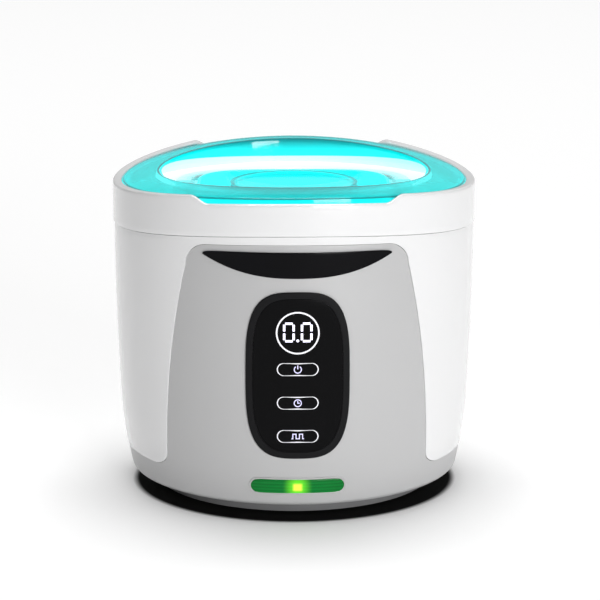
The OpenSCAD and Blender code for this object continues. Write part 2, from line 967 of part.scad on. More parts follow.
// Closed surface from rings of [radius, height, rise at the front and back], with a point at each end
module saddle_revolve(rings, low_pole, high_pole, n = 96) {
    count = len(rings);
    points = concat([for (ring = rings) for (j = [0 : n - 1]) let (a = 360 * j / n)
        [ring[0] * cos(a), ring[0] * sin(a), ring[1] + ring[2] * pow(sin(a), 2)]],
        [[0, 0, high_pole], [0, 0, low_pole]]);
    sides = [for (i = [0 : count - 2]) for (j = [0 : n - 1]) let (k = (j + 1) % n)
        for (tri = [[i * n + j, i * n + k, (i + 1) * n + k],
            [i * n + j, (i + 1) * n + k, (i + 1) * n + j]]) tri];
    top = [for (j = [0 : n - 1]) [count * n, (j + 1) % n, j]];
    bottom = [for (j = [0 : n - 1]) [count * n + 1, (count - 1) * n + j, (count - 1) * n + (j + 1) % n]];
    polyhedron(points, concat(sides, top, bottom));
}

// Clear tinted lid: arched floor with a round recess, raised crest, sloping brim and a skirt
// that stands on the deck
module lid() {
    crest_z = rim_h + crest_rise;
    crest_up = 4.2;
    brim_z = rim_h + 0.4;
    brim_up = 6.2;
    skirt_z = deck_z + eps;
    floor_z = crest_z - 0.4;
    recess_z = floor_z - recess_depth;
    floor_edge = crest_r - 1.5;
    mid = [(crest_r + lid_r) / 2, (crest_z + brim_z) / 2, (crest_up + brim_up) / 2];
    floor_steps = 5;
    // Ring of the arched floor at radius r, sunk by a depth
    function floor_ring(r, depth = 0) = [r, floor_z - depth, -floor_arch * pow(r / floor_edge, 2)];
    floor_rs = [for (i = [0 : floor_steps]) recess_r + 0.8 + (floor_edge - recess_r - 0.8) * i / floor_steps];
    top = concat([[recess_r - 2.5, recess_z, 0], [recess_r - 1.2, recess_z + 0.8, 0],
        floor_ring(recess_r, 0.5)],
        [for (r = floor_rs) floor_ring(r)],
        [[crest_r - 0.7, crest_z - 0.1, crest_up - 0.6], [crest_r, crest_z, crest_up],
        [crest_r + 1.5, crest_z - 0.2, crest_up + 0.2], mid, [lid_r - 0.6, brim_z, brim_up],
        [lid_r, brim_z - 0.7, brim_up], [lid_r, skirt_z, 0]]);
    under = concat([[lid_r - lid_t, skirt_z, 0], [lid_r - lid_t, brim_z - lid_t - 0.2, brim_up],
        mid - [0, lid_t, 0], [crest_r + 1.5, crest_z - 0.4 - lid_t, crest_up - 0.3],
        [crest_r + 0.4, crest_z - 0.8 - lid_t, crest_up - 1]],
        [for (i = [floor_steps : -1 : 1]) floor_ring(floor_rs[i], lid_t)],
        [floor_ring(recess_r + 1.2, lid_t + 0.4), [recess_r - 0.2, recess_z - lid_t + 0.6, 0],
        [recess_r - 1, recess_z - lid_t, 0]]);
    color("aqua", 0.6)
        saddle_revolve(concat(top, under), recess_z - lid_t, recess_z);
}

// Hanging basket with slotted floor and walls, and a lug at each end that rests on the tank flange
module basket() {
    low_z = tank_floor_z + basket_clear;
    top_z = flange_z + tank_t + 0.3;
    rim_t = 1.8;
    half_len = tank_len / 2 - basket_gap;
    half_w = tank_w / 2 - basket_gap;
    slot_gap = 9;
    cols = floor((half_len - 12) / slot_gap);
    color("aquamarine", 0.8)
    difference() {
        union() {
            translate([0, 0, low_z])
                linear_extrude(top_z + rim_t - low_z)
                    polygon(bowed(half_len, half_w));
            translate([-tank_len / 2 - tank_flange_w + 1, -18, top_z])
                cube([tank_len + 2 * tank_flange_w - 2, 36, rim_t]);
        }
        translate([0, 0, low_z + basket_t])
            linear_extrude(tank_depth)
                polygon(bowed(half_len - basket_t, half_w - basket_t));
        for (i = [-cols : cols]) {
            for (y = [-24, 0, 24])
                translate([slot_gap * i - 1.5, y - 9, low_z - 1])
                    cube([3, 18, basket_t + 2]);
            translate([slot_gap * i - 1.5, -tank_w, low_z + 8])
                cube([3, 2 * tank_w, 32]);
        }
        for (y = [-20, -10, 0, 10, 20])
            translate([-tank_len, y - 1.5, low_z + 8])
                cube([2 * tank_len, 3, 32]);
    }
}

upper_collar();
main_shell();
outer_sleeve();
base_plate();
rubber_feet();
base_screws();
collar_screws();
crescent_plate();
touch_bezel();
touch_glass();
light_bar_lens();
light_bar_board();
light_bar_leds();
control_board();
display_module();
touch_springs();
control_chip();
buzzer();
panel_screws();
tank();
tank_gasket();
transducer_horn();
piezo_rings();
transducer_electrodes();
transducer_back_mass();
transducer_bolt();
driver_board();
driver_screws();
transformer_core();
transformer_winding();
line_inductor();
filter_capacitors();
heatsink();
switching_transistors();
fuse();
board_connectors();
mains_inlet();
inlet_pins();
mains_leads();
transducer_leads();
panel_ribbon();
lid();
basket();
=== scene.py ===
import math

import bpy
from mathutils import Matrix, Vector


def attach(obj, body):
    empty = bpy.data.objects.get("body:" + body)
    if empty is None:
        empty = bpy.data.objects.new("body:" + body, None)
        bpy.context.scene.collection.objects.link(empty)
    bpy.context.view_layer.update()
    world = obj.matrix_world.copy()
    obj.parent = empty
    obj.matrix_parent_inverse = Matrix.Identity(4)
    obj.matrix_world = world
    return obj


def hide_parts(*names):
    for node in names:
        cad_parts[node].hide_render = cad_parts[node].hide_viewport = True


bl_info = {
    "name": "Ultrasonic cleaner",
    "version": (1, 0, 0),
    "blender": (4, 2, 0),
    "location": "View3D > Sidebar > Cleaner",
    "description": "Builds a household ultrasonic cleaner with a clear lid round its CAD frame",
    "category": "Add Mesh",
}

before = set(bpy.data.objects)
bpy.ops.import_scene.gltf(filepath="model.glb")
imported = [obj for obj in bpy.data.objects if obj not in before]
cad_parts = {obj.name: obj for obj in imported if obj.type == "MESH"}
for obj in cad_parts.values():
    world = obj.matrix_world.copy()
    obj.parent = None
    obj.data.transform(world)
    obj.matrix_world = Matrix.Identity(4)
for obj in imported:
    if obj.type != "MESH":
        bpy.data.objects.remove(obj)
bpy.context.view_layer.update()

MM = 0.001
QUARTER = math.pi / 2
TURN = 2 * math.pi


# ---------------------------------------------------------------- sizes and colours

def length(label, text, default, low, high):
    """One size in metres for the sidebar."""
    return bpy.props.FloatProperty(
        name=label, description=text, default=default * MM, min=low * MM, max=high * MM,
        unit="LENGTH", subtype="DISTANCE", precision=4)


def colour(label, text, default):
    """One surface colour for the sidebar."""
    return bpy.props.FloatVectorProperty(
        name=label, description=text, default=default, min=0.0, max=1.0, size=3, subtype="COLOR")


class CleanerSizes(bpy.types.PropertyGroup):
    """Sizes of the cleaner."""

    body_r: length("Body radius", "Outside radius of the white collar", 100.4, 95, 125)
    rim_h: length("Rim height", "Height of the rim at the left and right sides", 171.4, 160, 215)
    saddle: length("Saddle", "How much higher the rim is at the front and back", 9.3, 4, 12)
    seam_h: length("Seam height", "Height of the seam under the collar at the sides", 149.1, 130, 190)
    foot_h: length("Shell foot", "Height of the lower edge of the grey shell", 8.4, 7, 12)
    sleeve_h: length("Sleeve foot", "Height of the lower edge of the white sleeve", 23, 18, 34)
    sleeve_t: length("Sleeve wall", "Thickness of the white sleeve", 2.2, 1.6, 3)
    deck_h: length("Deck height", "Height of the deck that carries the lid", 162.6, 150, 200)
    lid_r: length("Lid radius", "Outside radius of the lid", 94.8, 88, 96)
    crest_r: length("Crest radius", "Radius of the raised crest of the lid", 75.1, 66, 80)
    recess_r: length("Recess radius", "Radius of the round recess in the lid", 36.5, 25, 42)
    tank_a: length("Tank half length", "Half the inside length of the tank", 60, 45, 63)
    tank_b: length("Tank half width", "Half the inside width of the tank", 56.5, 45, 61)
    tank_h: length("Tank floor", "Height of the floor of the tank", 102.2, 85, 120)
    touch_w: length("Touch panel width", "Width of the touch panel with its frame", 55.5, 50, 62)
    touch_l: length("Touch panel height", "Height of the touch panel with its frame", 92, 84, 96)
    touch_z: length("Touch panel level", "Height of the middle of the touch panel", 82.4, 80, 90)
    badge_w: length("Badge width", "Width of the dark crescent", 100.4, 80, 104)
    light_w: length("Light bar length", "Length of the green light bar", 50.4, 40, 60)
    light_l: length("Light bar height", "Height of the green light bar", 8, 6, 9)
    light_z: length("Light bar level", "Height of the middle of the light bar", 20.1, 17, 24)


class CleanerColours(bpy.types.PropertyGroup):
    """Colours of the cleaner."""

    white: colour("White plastic", "Glossy collar and sleeve", (0.82, 0.82, 0.825))
    silver: colour("Silver grey", "Satin paint of the shell", (0.50, 0.50, 0.503))
    lid_tint: colour("Lid tint", "Clear plastic of the lid", (0.05, 0.66, 0.65))
    glow: colour("Light bar green", "Green of the light bar", (0.004, 0.20, 0.032))


size = {}


def read_sizes():
    """Takes the sizes from the sidebar, in millimetres."""
    group = bpy.context.scene.cleaner_sizes
    for name in CleanerSizes.__annotations__:
        size[name] = getattr(group, name) / MM


# ---------------------------------------------------------------- shape of the body

UPPER_TAPER = 2.7
LOWER_CURL = 3.6
BELLY_H = 50.0
SEAM_STEP = 0.7
FOOT_ROUND = 3.0
APRON_SINK = 0.5
APRON_HALF = 70.6
APRON_TAPER = 11.2
APRON_CORNER = 12.0
APRON_BOW = 1.6
FLARE_R = 7.0
NOTCH_DEPTH = 4.7
NOTCH_START = 46.5
NOTCH_EASE = 10.0
PANEL_POWER = 3.3
PANEL_FRAME = 3.7
KEY_PITCH = 18.6
KEY_LEVEL = 3.9
DISPLAY_LEVEL = 23.9
LID_WALL = 2.0
CREST_RISE = 4.3
CREST_SADDLE = 4.2
BRIM_RISE = 0.4
BRIM_SADDLE = 6.2
FLOOR_ARCH = 6.2
RECESS_DEPTH = 6.9
SHEET = 0.8
FLANGE_TOP = 1.6
FLANGE_LIP = 7.0
BASKET_GAP = 6.0
BASKET_WALL = 1.6
SHADOW_R = 87.2
SHADOW_FADE = 4.6


def shell_r(z):
    """Outer radius of the lower body at height z."""
    seam_r = size["body_r"] - SEAM_STEP
    span = size["seam_h"] - BELLY_H
    if z > BELLY_H:
        return seam_r - UPPER_TAPER * ((size["seam_h"] - z) / span) ** 2
    slope = 2 * UPPER_TAPER / span
    curl = LOWER_CURL * ((BELLY_H - z) / (BELLY_H - size["foot_h"])) ** 2
    return seam_r - UPPER_TAPER - slope * (BELLY_H - z) - curl


def lift(y):
    """Rise of the rim and the seam at depth y."""
    return size["saddle"] * (y / size["body_r"]) ** 2


def notch(x):
    """Depth of the finger notch where the rim passes at x."""
    past = (abs(x) - NOTCH_START) / NOTCH_EASE
    if past <= 0:
        return NOTCH_DEPTH
    return NOTCH_DEPTH * (1 + math.cos(math.pi * past)) / 2 if past < 1 else 0.0


def on_front(x, z, depth):
    """Point on the front of the body, a depth below its surface."""
    r = shell_r(z) - depth
    return x, -math.sqrt(r * r - x * x), z


def apron_top():
    return size["seam_h"] + size["saddle"] - 4.9


def apron_border(grow=0.0):
    """Right half of the apron outline, from the middle of its top to the end of the flare."""
    top, foot = apron_top(), size["sleeve_h"] + FLARE_R
    corner_x = APRON_HALF - APRON_TAPER - APRON_CORNER
    corner_z = top - APRON_CORNER - APRON_BOW
    points = [(corner_x * i / 16, top + grow - APRON_BOW * (i / 16) ** 2) for i in range(16)]
    reach = APRON_CORNER + grow
    for i in range(13):
        a = QUARTER * (1 - i / 12)
        points.append((corner_x + reach * math.cos(a), corner_z + reach * math.sin(a)))
    for i in range(1, 31):
        z = corner_z + (foot - corner_z) * i / 30
        run = (z - foot) / (corner_z - foot)
        points.append((APRON_HALF + grow - APRON_TAPER * run ** 2.2, z))
    flare = FLARE_R - grow
    for i in range(1, 9):
        a = QUARTER * i / 8
        points.append((APRON_HALF + grow + flare * (1 - math.cos(a)), foot - flare * math.sin(a)))
    return points


# ---------------------------------------------------------------- modelling by hand

def clear_selection():
    if bpy.context.object and bpy.context.object.mode != "OBJECT":
        bpy.ops.object.mode_set(mode="OBJECT")
    bpy.ops.object.select_all(action="DESELECT")


def only(obj):
    """Selects one piece and makes it active."""
    clear_selection()
    obj.select_set(True)
    bpy.context.view_layer.objects.active = obj


def call(name):
    """Names the new active piece."""
    obj = bpy.context.object
    obj.name = name
    obj.data.name = name
    return obj


def modify(obj, kind, **settings):
    """Adds one modifier and applies it."""
    only(obj)
    mod = obj.modifiers.new(kind.title(), kind)
    for key, value in settings.items():
        setattr(mod, key, value)
    bpy.ops.object.modifier_apply(modifier=mod.name)


def ease_edges(obj, width, degrees):
    """Rounds the edges that are sharper than an angle."""
    modify(obj, "BEVEL", width=width * MM, segments=3, limit_method="ANGLE",
           angle_limit=math.radians(degrees))


def outward(obj):
    """Turns the faces of a closed piece outwards."""
    only(obj)
    bpy.ops.object.mode_set(mode="EDIT")
    bpy.ops.mesh.select_all(action="SELECT")
    bpy.ops.mesh.normals_make_consistent(inside=False)
    bpy.ops.object.mode_set(mode="OBJECT")


def smooth(obj, degrees=35):
    only(obj)
    bpy.ops.object.shade_smooth_by_angle(angle=math.radians(degrees))


def join(name, parts):
    """Makes one piece of several."""
    clear_selection()
    for part in parts:
        part.select_set(True)
    bpy.context.view_layer.objects.active = parts[0]
    bpy.ops.object.join()
    return call(name)


def stack(name, rings, sides, closed=True, angle=35):
    """A stack of rings, extruded up from a circle and then set at their places.

    Each ring is a function that gives a point in millimetres for an angle. A closed stack
    joins its last ring to its first, and an open one gets a cap at both ends.
    """
    clear_selection()
    bpy.ops.mesh.primitive_circle_add(vertices=sides, radius=1.0, fill_type="NOTHING")
    obj = call(name)
    bpy.ops.object.mode_set(mode="EDIT")
    bpy.ops.mesh.select_all(action="SELECT")
    for _ in rings[1:]:
        bpy.ops.mesh.extrude_region_move(TRANSFORM_OT_translate={"value": (0, 0, 1)})
    bpy.ops.object.mode_set(mode="OBJECT")
    last = len(rings) - 1
    if closed:
        select_edges(obj, lambda a, b: max(a.z, b.z) < 0.5 or min(a.z, b.z) > last - 0.5)
        bpy.ops.object.mode_set(mode="EDIT")
        bpy.ops.mesh.bridge_edge_loops()
        bpy.ops.object.mode_set(mode="OBJECT")
    else:
        for low in (True, False):
            select_edges(obj, lambda a, b: max(a.z, b.z) < 0.5 if low else min(a.z, b.z) > last - 0.5)
            bpy.ops.object.mode_set(mode="EDIT")
            bpy.ops.mesh.edge_face_add()
            bpy.ops.object.mode_set(mode="OBJECT")
    for v in obj.data.vertices:
        point = rings[round(v.co.z)](math.atan2(v.co.y, v.co.x))
        v.co = Vector(point) * MM
    outward(obj)
    smooth(obj, angle)
    return obj


def select_edges(obj, test):
    """Selects the edges whose two ends pass a test, in edge mode."""
    only(obj)
    bpy.ops.object.mode_set(mode="EDIT")
    bpy.ops.mesh.select_mode(type="EDGE")
    bpy.ops.mesh.select_all(action="DESELECT")
    bpy.ops.object.mode_set(mode="OBJECT")
    points = obj.data.vertices
    for edge in obj.data.edges:
        edge.select = test(points[edge.vertices[0]].co, points[edge.vertices[1]].co)


def grid(name, columns, rows, place):
    """A grid laid by a function of its column and row fractions, in millimetres."""
    clear_selection()
    bpy.ops.mesh.primitive_grid_add(x_subdivisions=columns, y_subdivisions=rows, size=2)
    obj = call(name)
    for v in obj.data.vertices:
        v.co = Vector(place((v.co.x + 1) / 2, (v.co.y + 1) / 2)) * MM
    return obj


def block(name, centre, dims, round_r=0.0, steps=2):
    """A block with rounded edges, in millimetres."""
    clear_selection()
    bpy.ops.mesh.primitive_cube_add(size=1)
    obj = call(name)
    for v in obj.data.vertices:
        v.co = Vector([c + p * d for c, p, d in zip(centre, v.co, dims)]) * MM
    if round_r:
        modify(obj, "BEVEL", width=round_r * MM, segments=steps)
    return obj


def circle_ring(r, z, up=0.0):
    """Round ring at height z that rises by up at the front and back."""
    return lambda a: (r * math.cos(a), r * math.sin(a), z + up * math.sin(a) ** 2)


def oval_r(a, half_x, half_y, power=4):
    """Radius of a bowed rectangle at an angle."""
    return (abs(math.cos(a) / half_x) ** power + abs(math.sin(a) / half_y) ** power) ** (-1 / power)


def oval_ring(half_x, half_y, z, power=4):
    def place(a):
        r = oval_r(a, half_x, half_y, power)
        return r * math.cos(a), r * math.sin(a), z
    return place


def blend_rings(first, second, share):
    """Ring part of the way from one ring to another."""
    return lambda a: tuple(p + (q - p) * share for p, q in zip(first(a), second(a)))


# Outlines on the front, as functions of the angle that give x and z from the middle

def oval_outline(half_x, half_z, power):
    def place(a):
        r = oval_r(a, half_x, half_z, power)
        return r * math.cos(a), r * math.sin(a)
    return place


def slot_outline(half_x, half_z):
    """Long slot with round ends."""
    run = half_x - half_z

    def place(a):
        c, s = math.cos(a), math.sin(a)
        if abs(s) * run >= abs(c) * half_z:
            return half_z * c / abs(s), math.copysign(half_z, s)
        side = math.copysign(run, c)
        b = side * c
        r = b + math.sqrt(max(b * b - run * run + half_z * half_z, 0))
        return r * c, r * s
    return place


def front_ring(outline, middle_z, scale, depth, shrink=0.0, middle_x=0.0):
    """Ring of an outline on the front of the body; shrink takes it in from the edge."""
    def place(a):
        x, z = outline(a)
        reach = math.hypot(x, z)
        k = scale * max(reach - shrink, 0.0) / reach
        return on_front(middle_x + x * k, middle_z + z * k, depth)
    return place


def front_pad(name, outline, middle_z, back, face, edge, sides=96, crown=0.0, middle_x=0.0, steps=8):
    """Solid plate on the front with a rounded edge; back and face are depths below the surface."""
    def ring(scale, depth, shrink=0.0):
        return front_ring(outline, middle_z, scale, depth, shrink, middle_x)

    rings = [ring(i / steps, back) for i in range(steps)]
    rings[0] = ring(0.01, back)
    rings.append(ring(1, back))
    for i in range(5):
        a = QUARTER * i / 4
        rings.append(ring(1, face + edge * (1 - math.sin(a)), edge * (1 - math.cos(a))))
    for i in range(steps - 1, -1, -1):
        share = max(i / steps, 0.01)
        rings.append(ring(share, face - crown * (1 - share ** 2), edge * share))
    return stack(name, rings, sides, closed=False, angle=50)


def front_band(name, outline, middle_z, width, back, face, sides=96):
    """Thin raised line that follows an outline on the front."""
    rings = [front_ring(outline, middle_z, 1, depth, inward)
             for depth, inward in ((back, 0), (face, 0), (face, width), (back, width))]
    return stack(name, rings, sides)


def front_stroke(name, points, width, middle_z, back, face, middle_x=0.0):
    """Thin raised line along a path of x and z points on the front."""
    count = len(points)

    def side(i):
        before = points[max(i - 1, 0)]
        here = points[i]
        after = points[min(i + 1, count - 1)]
        into = Vector((here[0] - before[0], here[1] - before[1]))
        out = Vector((after[0] - here[0], after[1] - here[1]))
        into = (into if into.length else out).normalized()
        out = (out if out.length else into).normalized()
        mean = (into + out).normalized()
        grow = 1 / max(mean.dot(into), 0.5)
        return Vector((-mean.y, mean.x)) * grow * width / 2

    def place(u, w):
        i = round(u * (count - 1))
        off = side(i) * (2 * w - 1)
        return on_front(middle_x + points[i][0] + off.x, middle_z + points[i][1] + off.y, face)

    obj = grid(name, count - 1, 1, place)
    modify(obj, "SOLIDIFY", thickness=(back - face) * MM, offset=-1)
    outward(obj)
    return obj


# ---------------------------------------------------------------- finishes

class Socket:
    """A node output that takes part in sums."""

    def __init__(self, finish, output):
        self.finish = finish
        self.output = output

    def join(self, operation, first, second):
        node = self.finish.node("ShaderNodeMath", {"operation": operation}, {0: first, 1: second})
        return Socket(self.finish, node.outputs[0])

    def __add__(self, other):
        return self.join("ADD", self, other)

    def __radd__(self, other):
        return self.join("ADD", other, self)

    def __sub__(self, other):
        return self.join("SUBTRACT", self, other)

    def __rsub__(self, other):
        return self.join("SUBTRACT", other, self)

    def __mul__(self, other):
        return self.join("MULTIPLY", self, other)

    def __rmul__(self, other):
        return self.join("MULTIPLY", other, self)

    def __truediv__(self, other):
        return self.join("DIVIDE", self, other)

    def __pow__(self, other):
        return self.join("POWER", self, other)

    def most(self, other):
        return self.join("MAXIMUM", self, other)


class Finish:
    """One surface material, built node by node."""

    def __init__(self, name, principled=None):
        self.material = bpy.data.materials.new(name)
        self.material.use_nodes = True
        self.tree = self.material.node_tree
        self.tree.nodes.clear()
        self.output = self.tree.nodes.new("ShaderNodeOutputMaterial")
        self.shader = self.node("ShaderNodeBsdfPrincipled", {}, principled or {})
        self.tree.links.new(self.shader.outputs[0], self.output.inputs["Surface"])
        self._place = None

    def node(self, kind, settings=None, inputs=None):
        """Adds a node, sets it, and gives its sockets values or links."""
        made = self.tree.nodes.new(kind)
        for key, value in (settings or {}).items():
            if key == "stops":
                ramp = made.color_ramp
                while len(ramp.elements) < len(value):
                    ramp.elements.new(1.0)
                for element, (position, shade) in zip(ramp.elements, value):
                    element.position = position
                    element.color = (*shade, 1.0) if len(shade) == 3 else shade
            else:
                setattr(made, key, value)
        for key, value in (inputs or {}).items():
            self.feed(made.inputs[key], value)
        return made

    def feed(self, socket, value):
        if isinstance(value, Socket):
            self.tree.links.new(value.output, socket)
        elif isinstance(value, (tuple, list)) and len(value) == 3 and socket.type == "RGBA":
            socket.default_value = (*value, 1.0)
        else:
            socket.default_value = value

    def set(self, **inputs):
        """Feeds sockets of the shader; an underscore stands for a space."""
        for key, value in inputs.items():
            self.feed(self.shader.inputs[key.replace("_", " ")], value)
        return self

    def place(self):
        """Object coordinates, shared by all patterns."""
        if self._place is None:
            node = self.node("ShaderNodeTexCoord")
            self._place = Socket(self, node.outputs["Object"])
        return self._place

    def axes(self):
        node = self.node("ShaderNodeSeparateXYZ", {}, {0: self.place()})
        return [Socket(self, out) for out in node.outputs]

    def stretch(self, scale):
        """Object coordinates stretched along each axis."""
        node = self.node("ShaderNodeMapping", {}, {"Vector": self.place(), "Scale": scale})
        return Socket(self, node.outputs[0])

    def noise(self, scale, detail=3.0, rough=0.5, where=None):
        """Noise with features of about one over scale metres."""
        node = self.node("ShaderNodeTexNoise", {}, {
            "Vector": where or self.place(), "Scale": scale, "Detail": detail, "Roughness": rough})
        return Socket(self, node.outputs[0])

    def band(self, value, low, high, first=0.0, last=1.0):
        """Eases from first to last as a value passes from low to high."""
        node = self.node("ShaderNodeMapRange", {"interpolation_type": "SMOOTHSTEP"}, {
            "Value": value, "From Min": low, "From Max": high, "To Min": first, "To Max": last})
        return Socket(self, node.outputs[0])

    def tint(self, share, first, second):
        """Mixes two colours."""
        node = self.node("ShaderNodeMix", {"data_type": "RGBA"}, {0: share, 6: first, 7: second})
        return Socket(self, node.outputs[2])

    def bump(self, height, strength, distance):
        node = self.node("ShaderNodeBump", {}, {
            "Height": height, "Strength": strength, "Distance": distance})
        return Socket(self, node.outputs[0])

    def see_through(self, share, glass_tint):
        """Lets light straight through, tinted, by a share that may vary over the surface."""
        clear = self.node("ShaderNodeBsdfTransparent", {}, {"Color": glass_tint})
        mixed = self.node("ShaderNodeMixShader", {}, {
            0: share, 1: Socket(self, self.shader.outputs[0]), 2: Socket(self, clear.outputs[0])})
        self.tree.links.new(mixed.outputs[0], self.output.inputs["Surface"])
        return self


def darker(shade, share):
    return tuple(c * share for c in shade)


def gloss_plastic(name, shade, rough=0.16, coat=0.5):
    """Polished moulded plastic with faint unevenness and a little dust in its gloss."""
    f = Finish(name, {"IOR": 1.5, "Coat Roughness": 0.06})
    cloud = f.noise(9, 3)
    fine = f.noise(900, 2)
    return f.set(Base_Color=f.tint(cloud, darker(shade, 0.985), shade),
                 Roughness=f.noise(60, 4) * 0.06 + (rough - 0.03),
                 Coat_Weight=coat,
                 Normal=f.bump(fine * 0.4 + cloud, 0.03, 0.0004)).material


def satin_paint(name, shade):
    """Metallic satin paint with a fine pebbled grain."""
    f = Finish(name, {"IOR": 1.48, "Coat Roughness": 0.3, "Metallic": 0.0})
    grain = f.noise(2600, 2, 0.6)
    flake = f.noise(5200, 1)
    cloud = f.noise(12, 3)
    # The paint is darker towards the bottom, below 30 mm.
    z = f.axes()[2]
    dust = f.band(z, 0.03, 0.006)
    lighter = tuple(min(c * 1.03, 1) for c in shade)
    base = f.tint(flake * 0.5 + cloud * 0.5, darker(shade, 0.965), lighter)
    return f.set(Base_Color=f.tint(dust * 0.25, base, darker(shade, 0.8)),
                 Roughness=grain * 0.12 + 0.34, Coat_Weight=0.15,
                 Normal=f.bump(grain, 0.10, 0.00012)).material


def moulded(name, shade, rough=0.5, grain=1400, depth=0.2):
    """Plain moulded plastic with a fine matt grain."""
    f = Finish(name, {"IOR": 1.46})
    fine = f.noise(grain, 3, 0.6)
    cloud = f.noise(25, 3)
    return f.set(Base_Color=f.tint(cloud, darker(shade, 0.85), shade),
                 Roughness=fine * 0.15 + (rough - 0.07),
                 Normal=f.bump(fine, depth, 0.0002)).material


def metal(name, shade, rough=0.3, along=(40, 900, 900), wear=0.3):
    """Metal with fine lines along one direction and faint stains."""
    f = Finish(name, {"Metallic": 1.0})
    lines = f.noise(1.0, 4, 0.6, f.stretch(along))
    stain = f.noise(70, 4, 0.6)
    return f.set(Base_Color=f.tint(stain * wear, shade, darker(shade, 0.6)),
                 Roughness=lines * 0.18 + stain * 0.08 + (rough - 0.12),
                 Normal=f.bump(lines, 0.12, 0.00008)).material


def board_finish():
    """Green solder mask with paler copper tracks under it."""
    f = Finish("board_green", {"IOR": 1.5})
    tracks = f.node("ShaderNodeTexBrick", {"offset": 0.5}, {
        "Vector": f.stretch((1, 1, 1)), "Color1": (0.0, 0.0, 0.0), "Color2": (1.0, 1.0, 1.0),
        "Mortar": (0.5, 0.5, 0.5), "Scale": 90.0, "Mortar Size": 0.03})
    line = Socket(f, tracks.outputs[1])
    cloud = f.noise(60, 3)
    base = f.tint(cloud, (0.006, 0.085, 0.03), (0.012, 0.13, 0.045))
    return f.set(Base_Color=f.tint(line * 0.55, base, (0.05, 0.26, 0.09)), Roughness=0.32,
                 Coat_Weight=0.4, Normal=f.bump(line, 0.2, 0.0001)).material


def winding_finish(name="copper_winding"):
    """Enamelled copper wire laid turn on turn."""
    f = Finish(name, {"Metallic": 0.9})
    turns = f.node("ShaderNodeTexWave", {"wave_type": "BANDS", "bands_direction": "Z"}, {
        "Vector": f.place(), "Scale": 420.0, "Distortion": 0.6, "Detail": 1.0})
    wave = Socket(f, turns.outputs[1])
    return f.set(Base_Color=f.tint(wave, (0.32, 0.10, 0.03), (0.80, 0.36, 0.14)),
                 Roughness=0.28, Normal=f.bump(wave, 0.7, 0.0003)).material


def rubber_finish():
    f = Finish("foot_rubber", {"IOR": 1.45})
    fine = f.noise(1800, 3, 0.7)
    dust = f.noise(90, 4)
    return f.set(Base_Color=f.tint(dust, (0.012, 0.012, 0.013), (0.03, 0.03, 0.031)),
                 Roughness=fine * 0.1 + 0.68, Normal=f.bump(fine, 0.35, 0.0002)).material


def silicone_finish():
    f = Finish("gasket_silicone", {"IOR": 1.41, "Subsurface Weight": 0.2})
    cloud = f.noise(80, 3)
    return f.set(Base_Color=f.tint(cloud, (0.62, 0.64, 0.64), (0.72, 0.74, 0.74)),
                 Roughness=cloud * 0.15 + 0.42).material


def steel_finish():
    """Drawn stainless steel, brushed along the tank, with a painted glow: faint cyan over the tank and
    pale cyan on the top of the flange.
    """
    f = Finish("tank_steel", {"Metallic": 1.0, "Emission Strength": 0.55})
    lines = f.noise(1.0, 5, 0.65, f.stretch((30, 1100, 1100)))
    marks = f.noise(45, 5, 0.6)
    # Painted light: the top of the flange glows pale cyan, the rest of the tank faint cyan.
    flange = f.band(f.axes()[2], size["deck_h"] * MM, (size["deck_h"] + 1.2) * MM)
    return f.set(Base_Color=f.tint(marks, (0.60, 0.62, 0.63), (0.74, 0.76, 0.77)),
                 Emission_Color=f.tint(flange, (0.0, 0.10, 0.10), (0.62, 0.95, 0.95)),
                 Roughness=lines * 0.16 + marks * 0.08 + 0.16,
                 Normal=f.bump(lines, 0.10, 0.00006)).material


def lid_finish():
    """Deeply tinted clear plastic of the brim, the walls and the recess, with painted dark edge lines
    for the shade at its edges and a painted glow.
    """
    tint = tuple(bpy.context.scene.cleaner_colours.lid_tint)
    f = Finish("lid_tinted_clear", {
        "IOR": 1.49, "Specular IOR Level": 0.3, "Coat Roughness": 0.02, "Emission Strength": 0.35})
    x, y, z = f.axes()
    r = (x * x + y * y) ** 0.5
    crest = size["crest_r"] * MM
    off = r - (crest + 0.0001)
    fore = (y * y) / (r * r)
    # Painted shade: dark lines along the crest, the outer rim and the edge of the recess; there the lid
    # also lets less light through.
    line = f.band((off * off) ** 0.5 / (1 + fore * 1.3), 0.00085, 0.0004)
    brim_top = (size["rim_h"] + BRIM_RISE) * MM
    below = z - brim_top - fore * (BRIM_SADDLE * MM)
    skirt = f.band(below, -0.0008, -0.0013)
    rim_shade_line = f.band(r, (size["lid_r"] - 1.0) * MM, (size["lid_r"] - 0.3) * MM) * (1 - skirt)
    recess_shade_ring = f.band(r, 0.0325, 0.0338) * f.band(r, 0.040, 0.039)
    edge = line.most(rim_shade_line * 0.85).most(recess_shade_ring * 0.75)
    brim = f.band(r, crest + 0.0005, crest + 0.0015) * (1 - skirt)
    cloud = f.noise(14, 2)
    walls = f.tint(cloud * 0.3, (0.0, 0.88, 0.90), (0.0, 0.96, 0.97))
    shade = f.tint(brim, walls, f.tint(cloud * 0.4, tint, darker(tint, 0.88)))
    shade = f.tint(edge * 0.9, shade, (0.02, 0.10, 0.11))
    # Painted light: the lid glows with its own colour, the walls and the recess strongly and the brim
    # faintly.
    lit = f.tint(brim * 0.8, shade, (0.0, 0.10, 0.10))
    f.set(Base_Color=shade, Emission_Color=lit, Roughness=cloud * 0.04 + 0.05, Coat_Weight=0.2,
          Normal=f.bump(f.noise(30, 2), 0.02, 0.0006))
    return f.see_through(0.45 - edge * 0.35, (0.12, 0.96, 0.96, 1.0)).material


def lid_floor_finish():
    """Almost clear plastic of the floor of the lid."""
    f = Finish("lid_floor_clear", {"IOR": 1.49, "Specular IOR Level": 0.3})
    cloud = f.noise(12, 3)
    f.set(Base_Color=f.tint(cloud, (0.75, 1.0, 1.0), (0.95, 1.0, 1.0)), Roughness=cloud * 0.03 + 0.03,
          Normal=f.bump(cloud, 0.02, 0.0006))
    return f.see_through(0.95, (0.99, 1.0, 1.0, 1.0)).material


